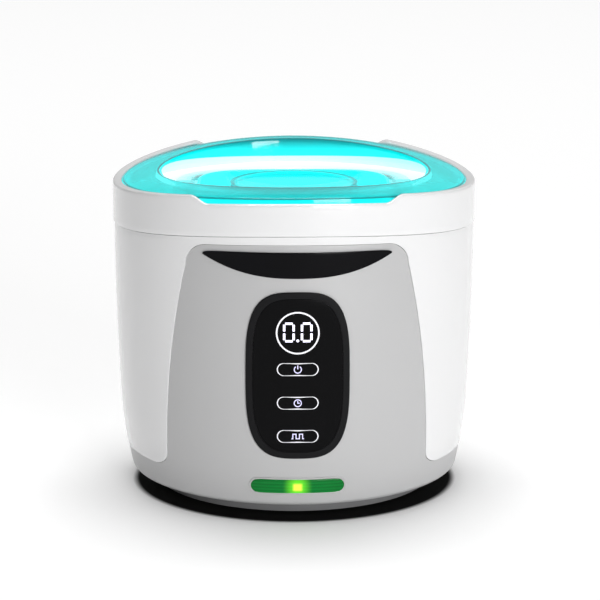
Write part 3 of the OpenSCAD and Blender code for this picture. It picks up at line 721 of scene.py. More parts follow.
def lid_lit_finish():
    """Inner face of the lid's skirt, white with the light that runs through the wall."""
    f = Finish("lid_skirt_lit", {"IOR": 1.49, "Specular IOR Level": 0.3, "Emission Strength": 0.35})
    cloud = f.noise(16, 2)
    shade = f.tint(cloud, (0.82, 0.97, 0.97), (0.90, 1.0, 1.0))
    f.set(Base_Color=shade, Emission_Color=shade, Roughness=cloud * 0.05 + 0.2)
    return f.see_through(0.15, (0.9, 1.0, 1.0, 1.0)).material


def deck_finish(white):
    """White plastic of the deck, bright with the light that the clear lid gathers."""
    f = Finish("deck_white", {"IOR": 1.5, "Emission Strength": 0.9})
    cloud = f.noise(20, 3)
    shade = f.tint(cloud, darker(white, 0.98), white)
    return f.set(Base_Color=shade, Emission_Color=shade, Roughness=cloud * 0.06 + 0.25).material


def basket_finish():
    """Tinted clear plastic of the basket, glowing a little with gathered light."""
    f = Finish("basket_tinted_clear", {"IOR": 1.49, "Emission Strength": 0.45})
    cloud = f.noise(30, 3)
    x = f.axes()[0]
    lug = f.band((x * x) ** 0.5, (size["tank_a"] - 5.8) * MM, (size["tank_a"] - 4.5) * MM)
    shade = f.tint(cloud, (0.0, 0.84, 0.86), (0.0, 0.95, 0.95))
    shade = f.tint(lug * 0.8, shade, (0.75, 1.0, 1.0))
    f.set(Base_Color=shade, Emission_Color=shade, Roughness=cloud * 0.1 + 0.12,
          Coat_Weight=0.3, Normal=f.bump(cloud, 0.05, 0.0005))
    return f.see_through(0.25 + lug * 0.5, (0.3, 1.0, 1.0, 1.0)).material


def light_bar_finish():
    """Green lens with ribs along it and a bright spot in the middle, lit from behind."""
    green = tuple(bpy.context.scene.cleaner_colours.glow)
    f = Finish("light_bar_green", {
        "IOR": 1.49, "Specular IOR Level": 0.1, "Coat Roughness": 0.05, "Emission Strength": 1.0})
    x, _, z = f.axes()
    up = z - (size["light_z"] - 0.3) * MM
    across = (x * x) ** 0.5
    level = (up * up) ** 0.5
    spot = f.band(across, 0.0032, 0.0014) * f.band(level, 0.0028, 0.0012)
    near = (x * x + up * up * 0.5) ** 0.5
    halo = f.band(near, 0.0085, 0.0012)
    wide = f.band(across, 0.030, 0.004)
    ribs = f.node("ShaderNodeTexWave", {"wave_type": "BANDS", "bands_direction": "Z"}, {
        "Vector": f.place(), "Scale": 170.0, "Distortion": 0.15})
    rib = Socket(f, ribs.outputs[1])
    base = f.tint(rib * 0.55, green, darker(green, 0.45))
    lit = f.tint(halo, f.tint(wide, (0.0, 0.006, 0.001), (0.0, 0.03, 0.004)), (0.16, 0.75, 0.01))
    return f.set(Base_Color=base, Roughness=rib * 0.1 + 0.14, Coat_Weight=0.08,
                 Emission_Color=f.tint(spot, lit, (1.1, 1.0, 0.09)),
                 Normal=f.bump(rib, 0.25, 0.0003)).material


def glowing(name, shade, strength):
    """Print or segments lit from behind."""
    f = Finish(name, {"Emission Strength": strength, "IOR": 1.45})
    even = f.noise(700, 2)
    lit = f.tint(even * 0.25, shade, darker(shade, 0.8))
    return f.set(Base_Color=shade, Emission_Color=lit, Roughness=even * 0.1 + 0.3).material


def dark_glass(name, shade, rough, coat):
    """Dark smooth panel with faint wiping marks in its gloss."""
    f = Finish(name, {"IOR": 1.5, "Coat Roughness": 0.03, "Specular IOR Level": 0.05, "Coat IOR": 1.1})
    smear = f.noise(1.0, 4, 0.6, f.stretch((50, 50, 14)))
    return f.set(Base_Color=f.tint(smear, darker(shade, 0.8), shade),
                 Roughness=smear * 0.08 + rough, Coat_Weight=coat).material


finishes = {}


def mix_finishes():
    """Makes every finish once."""
    colours = bpy.context.scene.cleaner_colours
    white, silver = tuple(colours.white), tuple(colours.silver)
    finishes.update({
        "collar": gloss_plastic("collar_gloss_white", white, 0.16, 0.5),
        "sleeve": gloss_plastic("sleeve_gloss_white", white, 0.18, 0.45),
        "shell": satin_paint("shell_satin_grey", silver),
        "base": moulded("base_grey_plastic", (0.25, 0.25, 0.255), 0.5),
        "rubber": rubber_finish(),
        "badge": dark_glass("badge_gloss_black", (0.004, 0.004, 0.005), 0.14, 0.5),
        "bezel": dark_glass("bezel_black", (0.013, 0.013, 0.014), 0.3, 0.08),
        "glass": dark_glass("touch_glass_black", (0.0035, 0.0035, 0.004), 0.08, 0.4),
        "print": glowing("panel_print_white", (0.80, 0.80, 0.84), 0.35),
        "digits": glowing("display_segments", (0.86, 0.84, 1.0), 1.1),
        "symbols": glowing("key_symbols", (0.62, 0.60, 0.86), 0.6),
        "lens": light_bar_finish(),
        "lid": lid_finish(),
        "lid_floor": lid_floor_finish(),
        "lid_lit": lid_lit_finish(),
        "deck": deck_finish(white),
        "basket": basket_finish(),
        "steel": steel_finish(),
        "silicone": silicone_finish(),
        "board": board_finish(),
        "copper": winding_finish(),
        "zinc": metal("zinc_screws", (0.62, 0.64, 0.66), 0.32),
        "brass": metal("sprung_contacts", (0.78, 0.55, 0.28), 0.3),
        "aluminium": metal("turned_aluminium", (0.72, 0.73, 0.75), 0.3, (700, 700, 60)),
        "mass": metal("turned_steel", (0.46, 0.47, 0.48), 0.32, (700, 700, 60)),
        "pins": metal("nickel_pins", (0.70, 0.68, 0.62), 0.22),
        "heatsink": metal("heatsink_anodised", (0.10, 0.10, 0.11), 0.42, (60, 60, 800)),
        "ceramic": moulded("piezo_ceramic", (0.46, 0.42, 0.33), 0.6, 2200, 0.15),
        "fuse": moulded("fuse_ceramic", (0.74, 0.73, 0.69), 0.3, 1200, 0.1),
        "ferrite": moulded("ferrite_core", (0.028, 0.026, 0.026), 0.55, 1600, 0.3),
        "capacitor": moulded("capacitor_sleeve", (0.012, 0.02, 0.055), 0.3, 800, 0.05),
        "package": moulded("chip_package", (0.014, 0.014, 0.015), 0.5, 2400, 0.25),
        "ivory": moulded("connector_ivory", (0.78, 0.74, 0.60), 0.42, 900, 0.1),
        "inlet": moulded("inlet_black", (0.013, 0.013, 0.014), 0.38, 1600, 0.15),
        "led": moulded("led_package", (0.82, 0.74, 0.30), 0.25, 500, 0.05),
        "brown": moulded("lead_brown", (0.11, 0.045, 0.02), 0.42, 700, 0.1),
        "red": moulded("lead_red", (0.42, 0.012, 0.010), 0.42, 700, 0.1),
        "ribbon": moulded("ribbon_grey", (0.34, 0.35, 0.37), 0.45, 700, 0.1),
    })


CAD_FINISHES = {
    "base_plate": "base", "rubber_feet": "rubber", "base_screws": "zinc", "collar_screws": "zinc",
    "light_bar_board": "board", "light_bar_leds": "led", "control_board": "board",
    "display_module": "package", "touch_springs": "brass", "control_chip": "package",
    "buzzer": "package", "panel_screws": "zinc", "tank_gasket": "silicone",
    "transducer_horn": "aluminium", "piezo_rings": "ceramic", "transducer_electrodes": "brass",
    "transducer_back_mass": "mass", "transducer_bolt": "zinc", "driver_board": "board",
    "driver_screws": "zinc", "transformer_core": "ferrite", "transformer_winding": "copper",
    "line_inductor": "copper", "filter_capacitors": "capacitor", "heatsink": "heatsink",
    "switching_transistors": "package", "fuse": "fuse", "board_connectors": "ivory",
    "mains_inlet": "inlet", "inlet_pins": "pins", "mains_leads": "brown",
    "transducer_leads": "red", "panel_ribbon": "ribbon",
}


def finish_piece(obj, finish, body, slot, *nodes):
    """Gives a piece its finish and its body and hides the CAD nodes it stands for; the slot is not
    used.
    """
    obj.data.materials.clear()
    obj.data.materials.append(finishes[finish])
    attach(obj, body)
    if nodes:
        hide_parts(*nodes)
    return obj


# ---------------------------------------------------------------- pieces

class Step(bpy.types.Operator):
    """Builds one group of pieces."""

    bl_options = {"REGISTER", "UNDO"}

    def execute(self, context):
        read_sizes()
        if not finishes:
            mix_finishes()
        self.build()
        clear_selection()
        return {"FINISHED"}


class CLEANER_OT_collar(Step):
    """White collar with its saddle rim, finger notches and deck"""

    bl_idname = "cleaner.collar"
    bl_label = "Collar"

    def build(self):
        body_r, deck = size["body_r"], size["deck_h"]
        in_r = size["lid_r"] + 0.3
        wall = 2.5

        def seam(r, up=0.0):
            def place(a):
                y = r * math.sin(a)
                return r * math.cos(a), y, size["seam_h"] + lift(y) + up
            return place

        def rim(r, up=0.0):
            def place(a):
                x, y = r * math.cos(a), r * math.sin(a)
                return x, y, size["rim_h"] + lift(y) - notch(x) + up
            return place

        hole = (size["tank_a"] + 1.3, size["tank_b"] + 1.3)
        low = seam(body_r, 0.4)
        high = rim(body_r, -1.6)
        rings = [seam(body_r - wall), seam(body_r - 0.5), seam(body_r - 0.12, 0.1)]
        rings += [blend_rings(low, high, i / 8) for i in range(9)]
        for i in range(1, 6):
            a = QUARTER * i / 5
            rings.append(rim(body_r - 1.6 * (1 - math.cos(a)), -1.6 * (1 - math.sin(a))))
        rings.append(rim((body_r - 1.6 + in_r + 1.2) / 2))
        for i in range(5):
            a = QUARTER * i / 4
            rings.append(rim(in_r + 1.2 * (1 - math.sin(a)), -1.2 * (1 - math.cos(a))))
        low, high = circle_ring(in_r, deck + 0.8), rim(in_r, -1.2)
        rings += [blend_rings(high, low, i / 5) for i in range(1, 6)]
        rings += [circle_ring(in_r - 0.25, deck + 0.25), circle_ring(in_r - 0.8, deck)]
        outer, inner = circle_ring(in_r - 0.8, deck), oval_ring(*hole, deck)
        rings += [blend_rings(outer, inner, i / 4) for i in range(1, 5)]
        rings += [oval_ring(*hole, deck - wall), circle_ring(body_r - wall, deck - wall)]
        obj = stack("collar_white", rings, 720)
        finish_piece(obj, "collar", "housing", "collar_white", "upper_collar")
        obj.data.materials.append(finishes["deck"])
        for face in obj.data.polygons:
            if face.center.z > (deck - 1) * MM and face.center.xy.length < (in_r - 0.1) * MM \
                    and face.center.z < (deck + 1) * MM:
                face.material_index = 1


def column_angle(column, z):
    """Angle from the front of a column of the lower body at height z."""
    kind, value = column
    if kind == "x":
        return math.asin(value / shell_r(max(z, size["sleeve_h"])))
    edge = math.asin(apron_border()[-1][0] / shell_r(max(z, size["sleeve_h"])))
    return edge + (QUARTER - edge) * value


def body_quarter(name, grow, row_points):
    """A quarter of a wrapped layer, its columns dense along the apron border.

    row_points gives the radius and height of every row of one column.
    """
    border = apron_border(grow)
    side_steps = 26
    columns = [(("x", x), z) for x, z in border]
    columns += [(("t", i / side_steps), border[-1][1]) for i in range(1, side_steps + 1)]
    made = [(column, row_points(column, z)) for column, z in columns]
    rows = len(made[0][1]) - 1

    def place(u, w):
        column, points = made[round(u * (len(made) - 1))]
        r, z = points[round(w * rows)]
        a = column_angle(column, z)
        return r * math.sin(a), -r * math.cos(a), z

    obj = grid(name, len(made) - 1, rows, place)
    modify(obj, "MIRROR", use_axis=(True, True, False), merge_threshold=0.02 * MM)
    outward(obj)
    return obj


class CLEANER_OT_sleeve(Step):
    """White sleeve round the body, open at the front and back aprons"""

    bl_idname = "cleaner.sleeve"
    bl_label = "Sleeve"

    def build(self):
        def rows(column, low):
            a = column_angle(column, size["seam_h"])
            top = size["seam_h"] + lift(shell_r(size["seam_h"]) * math.cos(a)) - 0.3
            return [(shell_r(z), z) for z in [low + (top - low) * i / 40 for i in range(41)]]

        obj = body_quarter("sleeve_white", 0.15, rows)
        modify(obj, "SOLIDIFY", thickness=size["sleeve_t"] * MM, offset=-1)
        ease_edges(obj, 0.55, 50)
        smooth(obj, 50)
        finish_piece(obj, "sleeve", "housing", "sleeve_white", "outer_sleeve")


class CLEANER_OT_shell(Step):
    """Grey shell with its raised aprons, foot, inlet window and rear vents"""

    bl_idname = "cleaner.shell"
    bl_label = "Shell"

    def build(self):
        foot = size["foot_h"]
        sink = APRON_SINK

        def rows(column, top):
            points = [(70.0, foot), (80.0, foot), (shell_r(foot) - sink - FOOT_ROUND, foot)]
            for i in range(1, 7):
                a = QUARTER * i / 6
                z = foot + FOOT_ROUND * (1 - math.cos(a))
                points.append((shell_r(z) - sink - FOOT_ROUND * (1 - math.sin(a)), z))
            low = foot + FOOT_ROUND
            for i in range(1, 45):
                z = low + (top - 0.15 - low) * i / 44
                points.append((shell_r(z) - sink, z))
            return points

        skin = body_quarter("shell_skin", 0.0, rows)
        modify(skin, "SOLIDIFY", thickness=1.7 * MM, offset=-1)

        def lined(depth, z, saddle=False):
            def place(a):
                r = shell_r(z) - depth
                up = lift(r * math.sin(a)) if saddle else 0.0
                return r * math.cos(a), r * math.sin(a), z + up
            return place

        outer, inner = size["sleeve_t"] + 0.1, size["sleeve_t"] + 2.5
        zs = [16 + (size["seam_h"] - 0.6 - 16) * i / 16 for i in range(17)]
        rings = [lined(outer, z, i == 16) for i, z in enumerate(zs)]
        rings += [lined(inner, z, i == 0) for i, z in enumerate(reversed(zs))]
        wall = stack("shell_wall", rings, 240)
        obj = join("shell_grey", [skin, wall])
        cutters = [block("inlet_window", (0, 94, 36), (26.2, 24, 16.2), 0.8)]
        for side in (-1, 1):
            for i in range(5):
                cutters.append(block("vent", (side * (27 + 5 * i), 88, 36), (2.4, 30, 16), 1.1, 3))
        cutter = join("shell_cuts", cutters)
        modify(obj, "BOOLEAN", object=cutter, operation="DIFFERENCE", solver="EXACT", use_self=True)
        bpy.data.objects.remove(cutter)
        smooth(obj, 40)
        finish_piece(obj, "shell", "housing", "shell_grey", "main_shell")


class CLEANER_OT_panel(Step):
    """Badge, touch panel with its print, display and keys, and the light bar"""

    bl_idname = "cleaner.panel"
    bl_label = "Control panel"

    def build(self):
        self.badge()
        self.touch()
        self.light_bar()

    def badge(self):
        half = size["badge_w"] / 2
        tip = apron_top() - 6.8
        rise, drop = 3.0, 11.0

        def edge_heights(u):
            top = tip + rise * max(0.0, 1 - u * u) ** 0.25
            low = tip - drop * (1 - abs(u) ** 2.5)
            return low, top

        def place(u, w):
            run = math.sin(QUARTER * (2 * u - 1))
            low, top = edge_heights(run * 0.9995)
            return on_front(run * half, low + (top - low) * w, APRON_SINK - 0.8)

        obj = grid("crescent_badge", 96, 10, place)
        modify(obj, "SOLIDIFY", thickness=0.75 * MM, offset=-1)
        outward(obj)
        ease_edges(obj, 0.25, 55)
        smooth(obj, 50)
        finish_piece(obj, "badge", "housing", "badge_black", "crescent_plate")

    def touch(self):
        z = size["touch_z"]
        sides = 160

        def inset(depth, inward=0.0):
            half_x, half_z = size["touch_w"] / 2 - inward, size["touch_l"] / 2 - inward
            return front_ring(oval_outline(half_x, half_z, PANEL_POWER), z, 1, depth)

        rings = [inset(APRON_SINK - 0.05), inset(-0.2)]
        for i in range(1, 5):
            a = QUARTER * i / 4
            rings.append(inset(-0.2 - 0.4 * math.sin(a), 0.4 * (1 - math.cos(a))))
        rings += [inset(-0.6, s) for s in (1.2, 2.2, 3.0)]
        rings += [inset(-0.5, 3.4), inset(-0.25, 3.62), inset(APRON_SINK - 0.05, 3.65)]
        bezel = stack("touch_bezel_frame", rings, sides)
        finish_piece(bezel, "bezel", "housing", "bezel_black", "touch_bezel")
        half_x, half_z = size["touch_w"] / 2 - PANEL_FRAME, size["touch_l"] / 2 - PANEL_FRAME
        inner = oval_outline(half_x + 0.02, half_z + 0.02, PANEL_POWER)
        face = APRON_SINK - 0.8
        glass = front_pad("touch_glass_panel", inner, z, APRON_SINK - 0.06, face, 0.12, sides)
        finish_piece(glass, "glass", "housing", "glass_black", "touch_glass")
        back, front = face + 0.03, face - 0.04
        shown_z = z + DISPLAY_LEVEL
        key_levels = [z + KEY_LEVEL - KEY_PITCH * i for i in range(3)]
        circle = oval_outline(11.6, 11.6, 2)
        parts = [front_band("display_circle", circle, shown_z, 0.85, back, front, 120)]
        for level in key_levels:
            key = slot_outline(11.1, 3.5)
            parts.append(front_band("key_outline", key, level, 0.55, back, front, 160))
        lines = join("panel_print", parts)
        finish_piece(lines, "print", "housing", "glass_black")
        self.digits(shown_z + 0.4, back, front)
        self.symbols(key_levels, back, front)

    def digits(self, level, back, front):
        width, height, bar, gap = 6.2, 10.8, 1.2, 0.22
        half_h, half_w = height / 2 - bar / 2, width / 2 - bar / 2

        def segment(x, z, run, upright):
            tip = bar / 2
            flat = [(-run, 0), (-run + tip, tip), (run - tip, tip),
                    (run, 0), (run - tip, -tip), (-run + tip, -tip)]
            if upright:
                flat = [(-q, p) for p, q in flat]

            def outline(a):
                i = round((a % TURN) / TURN * 6) % 6
                return flat[(3 - i) % 6]
            return front_pad("segment", outline, level + z, back, front, 0.01, 6, 0.0, x, 1)

        parts = []
        for middle in (-4.7, 4.7):
            for z in (-half_h, half_h):
                parts.append(segment(middle, z, half_w - gap + bar / 2 - 0.3, False))
            for x in (-half_w, half_w):
                for z in (-half_h / 2, half_h / 2):
                    parts.append(segment(middle + x, z, half_h / 2 - gap + 0.25, True))
        dot = oval_outline(0.75, 0.75, 2)
        parts.append(front_pad("point", dot, level - 4.6, back, front, 0.02, 24))
        obj = join("display_digits", parts)
        finish_piece(obj, "digits", "housing", "glass_black")

    def symbols(self, levels, back, front):
        line = 0.5

        def arc(r, first, last, steps=24):
            return [(r * math.sin(math.radians(first + (last - first) * i / steps)),
                     r * math.cos(math.radians(first + (last - first) * i / steps)))
                    for i in range(steps + 1)]

        def stroke(points, level):
            parts.append(front_stroke("symbol", points, line, level, back, front))

        parts = []
        stroke(arc(1.9, 35, 325), levels[0])
        stroke([(0, 0.2), (0, 2.3)], levels[0])
        parts.append(front_band("clock", oval_outline(2.15, 2.15, 2), levels[1], line, back, front, 48))
        stroke([(0, 1.3), (0, 0), (1.1, 0)], levels[1])
        pulses = [(-3.4, -1.3), (-2.6, -1.3), (-2.6, 1.3), (-0.9, 1.3), (-0.9, -1.3), (0.9, -1.3),
                  (0.9, 1.3), (2.6, 1.3), (2.6, -1.3), (3.4, -1.3)]
        stroke(pulses, levels[2])
        obj = join("key_symbols", parts)
        finish_piece(obj, "symbols", "housing", "glass_black")

    def light_bar(self):
        outline = slot_outline(size["light_w"] / 2, size["light_l"] / 2)
        lens = front_pad("light_bar", outline, size["light_z"], 4.5, APRON_SINK - 0.7, 0.9, 160, 0.35)
        finish_piece(lens, "lens", "housing", "lens_green", "light_bar_lens")
        z, sides = size["light_z"], 160
        rings = []
        for grow, depth in ((-0.1, 0.9), (-0.1, 0.3), (0.15, 0.12), (0.45, 0.05), (0.8, 0.16),
                            (1.1, 0.55), (1.1, 0.9)):
            slot = slot_outline(size["light_w"] / 2 + grow, size["light_l"] / 2 + grow)
            rings.append(front_ring(slot, z, 1, depth))
        bead = stack("light_bar_rim", rings, sides)
        finish_piece(bead, "shell", "housing", "shell_grey")


class CLEANER_OT_lid(Step):
    """Clear tinted lid with its arched floor, round recess, crest, brim and skirt"""

    bl_idname = "cleaner.lid"
    bl_label = "Lid"

    def build(self):
        wall = LID_WALL
        crest_z, crest_up = size["rim_h"] + CREST_RISE, CREST_SADDLE
        brim_z, brim_up = size["rim_h"] + BRIM_RISE, BRIM_SADDLE
        floor_z, arch = crest_z - 0.4, FLOOR_ARCH
        lid_r, crest_r, recess_r = size["lid_r"], size["crest_r"], size["recess_r"]
        floor_r = crest_r - 1.9
        deck = size["deck_h"] + 0.08

        def floor_at(r, down=0.0):
            return circle_ring(r, floor_z - down, -arch * (r / floor_r) ** 2)

        def crest_at(r, up=0.0):
            return circle_ring(r, crest_z + up, crest_up)

        def brim_at(share, down=0.0):
            r = crest_r + 2.2 + (lid_r - 0.9 - crest_r - 2.2) * share
            z = crest_z - 0.25 + (brim_z - crest_z + 0.25) * share + 0.5 * math.sin(math.pi * share)
            return circle_ring(r, z - down, crest_up + (brim_up - crest_up) * share)

        low_z = floor_z - RECESS_DEPTH
        rings = [circle_ring(r, low_z) for r in (0.3, 8, 16, 24, 31, recess_r - 1.9)]
        rings += [circle_ring(recess_r - 1.2, low_z + 0.25), circle_ring(recess_r - 0.9, low_z + 0.8)]
        rings += [blend_rings(circle_ring(recess_r - 0.8, low_z + 2), floor_at(recess_r - 0.5, 1.0), s)
                  for s in (0, 0.5, 1)]
        rings += [floor_at(recess_r - 0.1, 0.35), floor_at(recess_r + 0.6, 0.05)]
        rings += [floor_at(recess_r + 1.2 + (floor_r - 0.8 - recess_r - 1.2) * i / 14)
                  for i in range(15)]
        foot, head = floor_at(floor_r), crest_at(crest_r - 0.9, -0.3)
        rings += [blend_rings(foot, head, s) for s in (0.06, 0.2, 0.5, 0.8, 0.94)]
        rings += [crest_at(crest_r - 0.65, -0.1), crest_at(crest_r), crest_at(crest_r + 1.1, -0.08)]
        rings += [brim_at(i / 10) for i in range(11)]
        brim_edge = circle_ring(lid_r, brim_z - 0.9, brim_up)
        rings += [circle_ring(lid_r - 0.3, brim_z - 0.25, brim_up), brim_edge]
        rings += [blend_rings(brim_edge, circle_ring(lid_r, deck + 0.5), s) for s in (0.33, 0.66, 1)]
        rings += [circle_ring(lid_r - 0.5, deck), circle_ring(lid_r - wall + 0.5, deck)]
        inside = circle_ring(lid_r - wall, brim_z - wall - 0.8, brim_up)
        low = circle_ring(lid_r - wall, deck + 0.5)
        rings += [blend_rings(low, inside, s) for s in (0, 0.5, 1)]
        rings += [brim_at(1 - (i + 0.5) / 10, wall) for i in range(9)]
        rings += [circle_ring(crest_r + 1.6, crest_z - 0.5 - wall, crest_up - 0.3),
                  circle_ring(crest_r + 0.6, crest_z - 1.0 - wall, crest_up - 1)]
        rings += [floor_at(floor_r - 0.2, wall + 0.1)]
        rings += [floor_at(recess_r + 2 + (floor_r - 1.5 - recess_r - 2) * (1 - i / 10), wall)
                  for i in range(11)]
        rings += [floor_at(recess_r + 1.2, wall + 0.4), circle_ring(recess_r - 0.1, low_z - wall + 0.8),
                  circle_ring(recess_r - 1.2, low_z - wall)]
        rings += [circle_ring(r, low_z - wall) for r in (24, 12, 0.3)]
        obj = stack("lid_clear_tinted", rings, 320, closed=False, angle=45)
        finish_piece(obj, "lid", "lid", "lid_cyan", "lid")
        obj.data.materials.append(finishes["lid_floor"])
        obj.data.materials.append(finishes["lid_lit"])
        for face in obj.data.polygons:
            radii = [obj.data.vertices[i].co.xy.length / MM for i in face.vertices]
            near, reach = min(radii), max(radii)
            below_wall = face.normal.z < -0.15 and near > floor_r - 1.7 and reach < crest_r + 1.7
            if below_wall or (near > recess_r - 1.8 and reach < floor_r + 0.1):
                face.material_index = 1
            elif near > lid_r - wall - 0.2 and reach < lid_r - wall + 0.7 \
                    and face.normal.xy.dot(face.center.xy.normalized()) < -0.6:
                face.material_index = 2


class CLEANER_OT_tank(Step):
    """Drawn steel tank with a rolled flange"""

    bl_idname = "cleaner.tank"
    bl_label = "Tank"

    def build(self):
        a, b, floor = size["tank_a"], size["tank_b"], size["tank_h"]
        sheet, lip = SHEET, FLANGE_LIP
        top = size["deck_h"] + FLANGE_TOP

        def at(grow, z):
            return oval_ring(a + grow, b + grow, z)

        rings = [oval_ring(0.4, 0.4, floor), at(-40, floor), at(-22, floor), at(-9, floor)]
        for i in range(1, 7):
            t = QUARTER * i / 6
            rings.append(at(-8 * (1 - math.sin(t)), floor + 8 * (1 - math.cos(t))))
        rings += [at(0, floor + 8 + (top - 1.5 - floor - 8) * i / 8) for i in range(1, 9)]
        rings += [at(0.3, top - 0.6), at(0.9, top - 0.12), at(1.7, top)]
        rings += [at(4, top), at(lip - 0.3, top), at(lip, top - 0.25), at(lip, top - sheet + 0.2),
                  at(lip - 0.3, top - sheet), at(1.7, top - sheet), at(1.0, top - sheet - 0.6)]
        rings += [at(sheet, top - 3 + (floor + 8 - top + 3) * i / 6) for i in range(7)]
        for i in range(1, 7):
            t = QUARTER * i / 6
            rings.append(at(sheet - 8.8 * (1 - math.cos(t)), floor + 8 - 8.8 * math.sin(t)))
        rings += [at(-22, floor - sheet), at(-40, floor - sheet), oval_ring(0.4, 0.4, floor - sheet)]
        obj = stack("tank_drawn_steel", rings, 200, closed=False, angle=40)
        finish_piece(obj, "steel", "housing", "tank_steel", "tank")


class CLEANER_OT_basket(Step):
    """Hanging basket with slotted walls and floor"""

    bl_idname = "cleaner.basket"
    bl_label = "Basket"

    def build(self):
        wall = BASKET_WALL
        a, b = size["tank_a"] - BASKET_GAP, size["tank_b"] - BASKET_GAP
        low = size["tank_h"] + 7
        lug_z = size["deck_h"] + FLANGE_TOP + 0.3
        top = lug_z + 1.8

        def at(grow, z):
            return oval_ring(a + grow, b + grow, z)

        rings = [oval_ring(0.4, 0.4, low), at(-20, low), at(-4, low), at(-1.2, low + 0.3),
                 at(-0.2, low + 1.4)]
        rings += [at(0, low + 3 + (top - 3.6 - low) * i / 6) for i in range(7)]
        rings += [at(-0.2, top - 0.15), at(-0.6, top), at(-wall + 0.4, top), at(-wall, top - 0.4)]
        rings += [at(-wall, top - 3 + (low + 5 - top) * i / 5) for i in range(1, 6)]
        rings += [at(-wall - 0.6, low + wall + 0.3), at(-wall - 2, low + wall), at(-20, low + wall),
                  oval_ring(0.4, 0.4, low + wall)]
        cup = stack("basket_cup", rings, 128, closed=False)
        cutters = []
        pitch, cols = 9.0, int((a - 12) / 9)
        for i in range(-cols, cols + 1):
            for y in (-24, 0, 24):
                cutters.append(block("slot", (pitch * i, y, low), (3, 18, 12), 1.2, 2))
            cutters.append(block("slot", (pitch * i, 0, low + 24), (3, 2 * b + 20, 32), 1.2, 2))
        for i in range(-2, 3):
            cutters.append(block("slot", (0, 10 * i, low + 24), (2 * a + 20, 3, 32), 1.2, 2))
        for cutter in cutters:
            modify(cup, "BOOLEAN", object=cutter, operation="DIFFERENCE", solver="EXACT")
            bpy.data.objects.remove(cutter)
        lugs = []
        reach = size["tank_a"] + 6
        for side in (-1, 1):
            mid = side * (a - 0.8 + reach) / 2
            lugs.append(block("lug", (mid, 0, lug_z + 0.9), (reach - a + 0.8, 36, 1.8), 0.6, 3))
        obj = join("basket_hanging", [cup] + lugs)
        smooth(obj, 40)
        finish_piece(obj, "basket", "basket", "basket_clear", "basket")


class CLEANER_OT_inner_finishes(Step):
    """Finishes for the pieces that come from the CAD frame"""

    bl_idname = "cleaner.inner_finishes"
    bl_label = "Inner finishes"

    def build(self):
        for name, finish in CAD_FINISHES.items():
            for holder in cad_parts[name].material_slots:
                holder.material = finishes[finish]


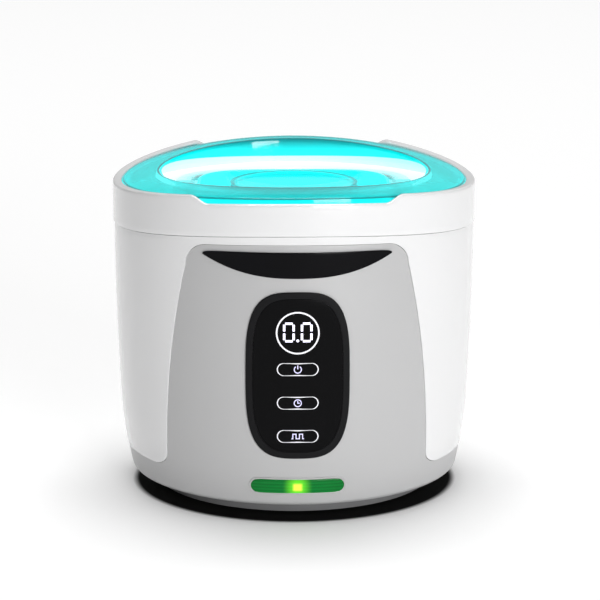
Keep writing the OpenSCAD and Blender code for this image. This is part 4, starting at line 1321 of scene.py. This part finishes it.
class CLEANER_OT_studio(Step):
    """Pale floor with a painted contact shadow under the object, soft lights and the camera"""

    bl_idname = "cleaner.studio"
    bl_label = "Studio"

    def build(self):
        scene = bpy.context.scene
        scene.view_settings.view_transform = "Standard"
        self.camera(scene)
        self.floor()
        self.lights(scene)

    def camera(self, scene):
        tilt, turn, away, look_z = math.radians(13.735), math.radians(1.17), 1.7122, 0.08214
        eye = Vector((-away * math.cos(tilt) * math.sin(turn), -away * math.cos(tilt) * math.cos(turn),
                      look_z + away * math.sin(tilt)))
        right = Vector((math.cos(turn), -math.sin(turn), 0))
        up = right.cross(Vector((0, 0, look_z)) - eye).normalized()
        aim = Vector((0, 0, look_z)) + right * 0.0034 + up * 0.0185
        data = bpy.data.cameras.new("studio_camera")
        data.lens = 182.95
        data.sensor_width = 36
        data.clip_end = 50
        cam = bpy.data.objects.new("studio_camera", data)
        cam.location = eye
        cam.rotation_euler = (aim - eye).to_track_quat("-Z", "Y").to_euler()
        scene.collection.objects.link(cam)
        scene.camera = cam

    def floor(self):
        clear_selection()
        bpy.ops.mesh.primitive_plane_add(size=24)
        obj = call("studio_floor")
        f = Finish("floor_pale", {"IOR": 1.3, "Emission Strength": 0.12})
        x, y, _ = f.axes()
        # Painted shadow: the floor turns dark in a round patch under the object, in place of its
        # contact shadow.
        ahead = y + 0.003
        reach = (x * x + ahead * ahead) ** 0.5
        painted_shadow = f.band(reach, (SHADOW_R + SHADOW_FADE) * MM, SHADOW_R * MM)
        shade = f.tint(painted_shadow, (0.93, 0.93, 0.93), (0.0008, 0.0008, 0.0008))
        f.set(Base_Color=shade, Emission_Color=shade, Roughness=0.9)
        obj.data.materials.append(f.material)

    def lights(self, scene):
        world = bpy.data.worlds.new("studio_air")
        world.use_nodes = True
        air = world.node_tree.nodes["Background"]
        air.inputs[0].default_value = (1, 1, 1, 1)
        air.inputs[1].default_value = 0.035
        scene.world = world
        for name, place, aim, width, height, power in (
                ("key_front", (1.05, -2.35, 0.42), (0, 0, 0.1), 1.1, 0.7, 38.5),
                ("top_soft", (0.0, 1.2, 7.0), (0, 1.0, 0.0), 5.0, 5.0, 505),
                ("back_card", (0.0, 3.6, 1.1), (0, 0, 0.15), 6.0, 2.0, 15)):
            data = bpy.data.lights.new(name, "AREA")
            data.shape = "RECTANGLE"
            data.size = width
            data.size_y = height
            data.energy = power
            lamp = bpy.data.objects.new(name, data)
            lamp.location = place
            lamp.visible_diffuse = name != "back_card"
            lamp.rotation_euler = (Vector(aim) - Vector(place)).to_track_quat("-Z", "Y").to_euler()
            scene.collection.objects.link(lamp)


class CLEANER_PT_parts(bpy.types.Panel):
    """Lists the pieces of the cleaner with its sizes and colours."""

    bl_idname = "CLEANER_PT_parts"
    bl_label = "Ultrasonic cleaner"
    bl_space_type = "VIEW_3D"
    bl_region_type = "UI"
    bl_category = "Cleaner"

    def draw(self, context):
        for step in STEPS:
            self.layout.operator(step.bl_idname)
        for group in (context.scene.cleaner_sizes, context.scene.cleaner_colours):
            for name in type(group).__annotations__:
                self.layout.prop(group, name)


STEPS = (
    CLEANER_OT_collar, CLEANER_OT_sleeve, CLEANER_OT_shell, CLEANER_OT_panel, CLEANER_OT_lid,
    CLEANER_OT_tank, CLEANER_OT_basket, CLEANER_OT_inner_finishes, CLEANER_OT_studio,
)
CLASSES = (CleanerSizes, CleanerColours) + STEPS + (CLEANER_PT_parts,)


def register():
    for cls in CLASSES:
        bpy.utils.register_class(cls)
    bpy.types.Scene.cleaner_sizes = bpy.props.PointerProperty(type=CleanerSizes)
    bpy.types.Scene.cleaner_colours = bpy.props.PointerProperty(type=CleanerColours)


def unregister():
    del bpy.types.Scene.cleaner_colours
    del bpy.types.Scene.cleaner_sizes
    for cls in reversed(CLASSES):
        bpy.utils.unregister_class(cls)


def main():
    register()
    for step in STEPS:
        group, name = step.bl_idname.split(".")
        getattr(getattr(bpy.ops, group), name)()


if __name__ == "__main__":
    main()
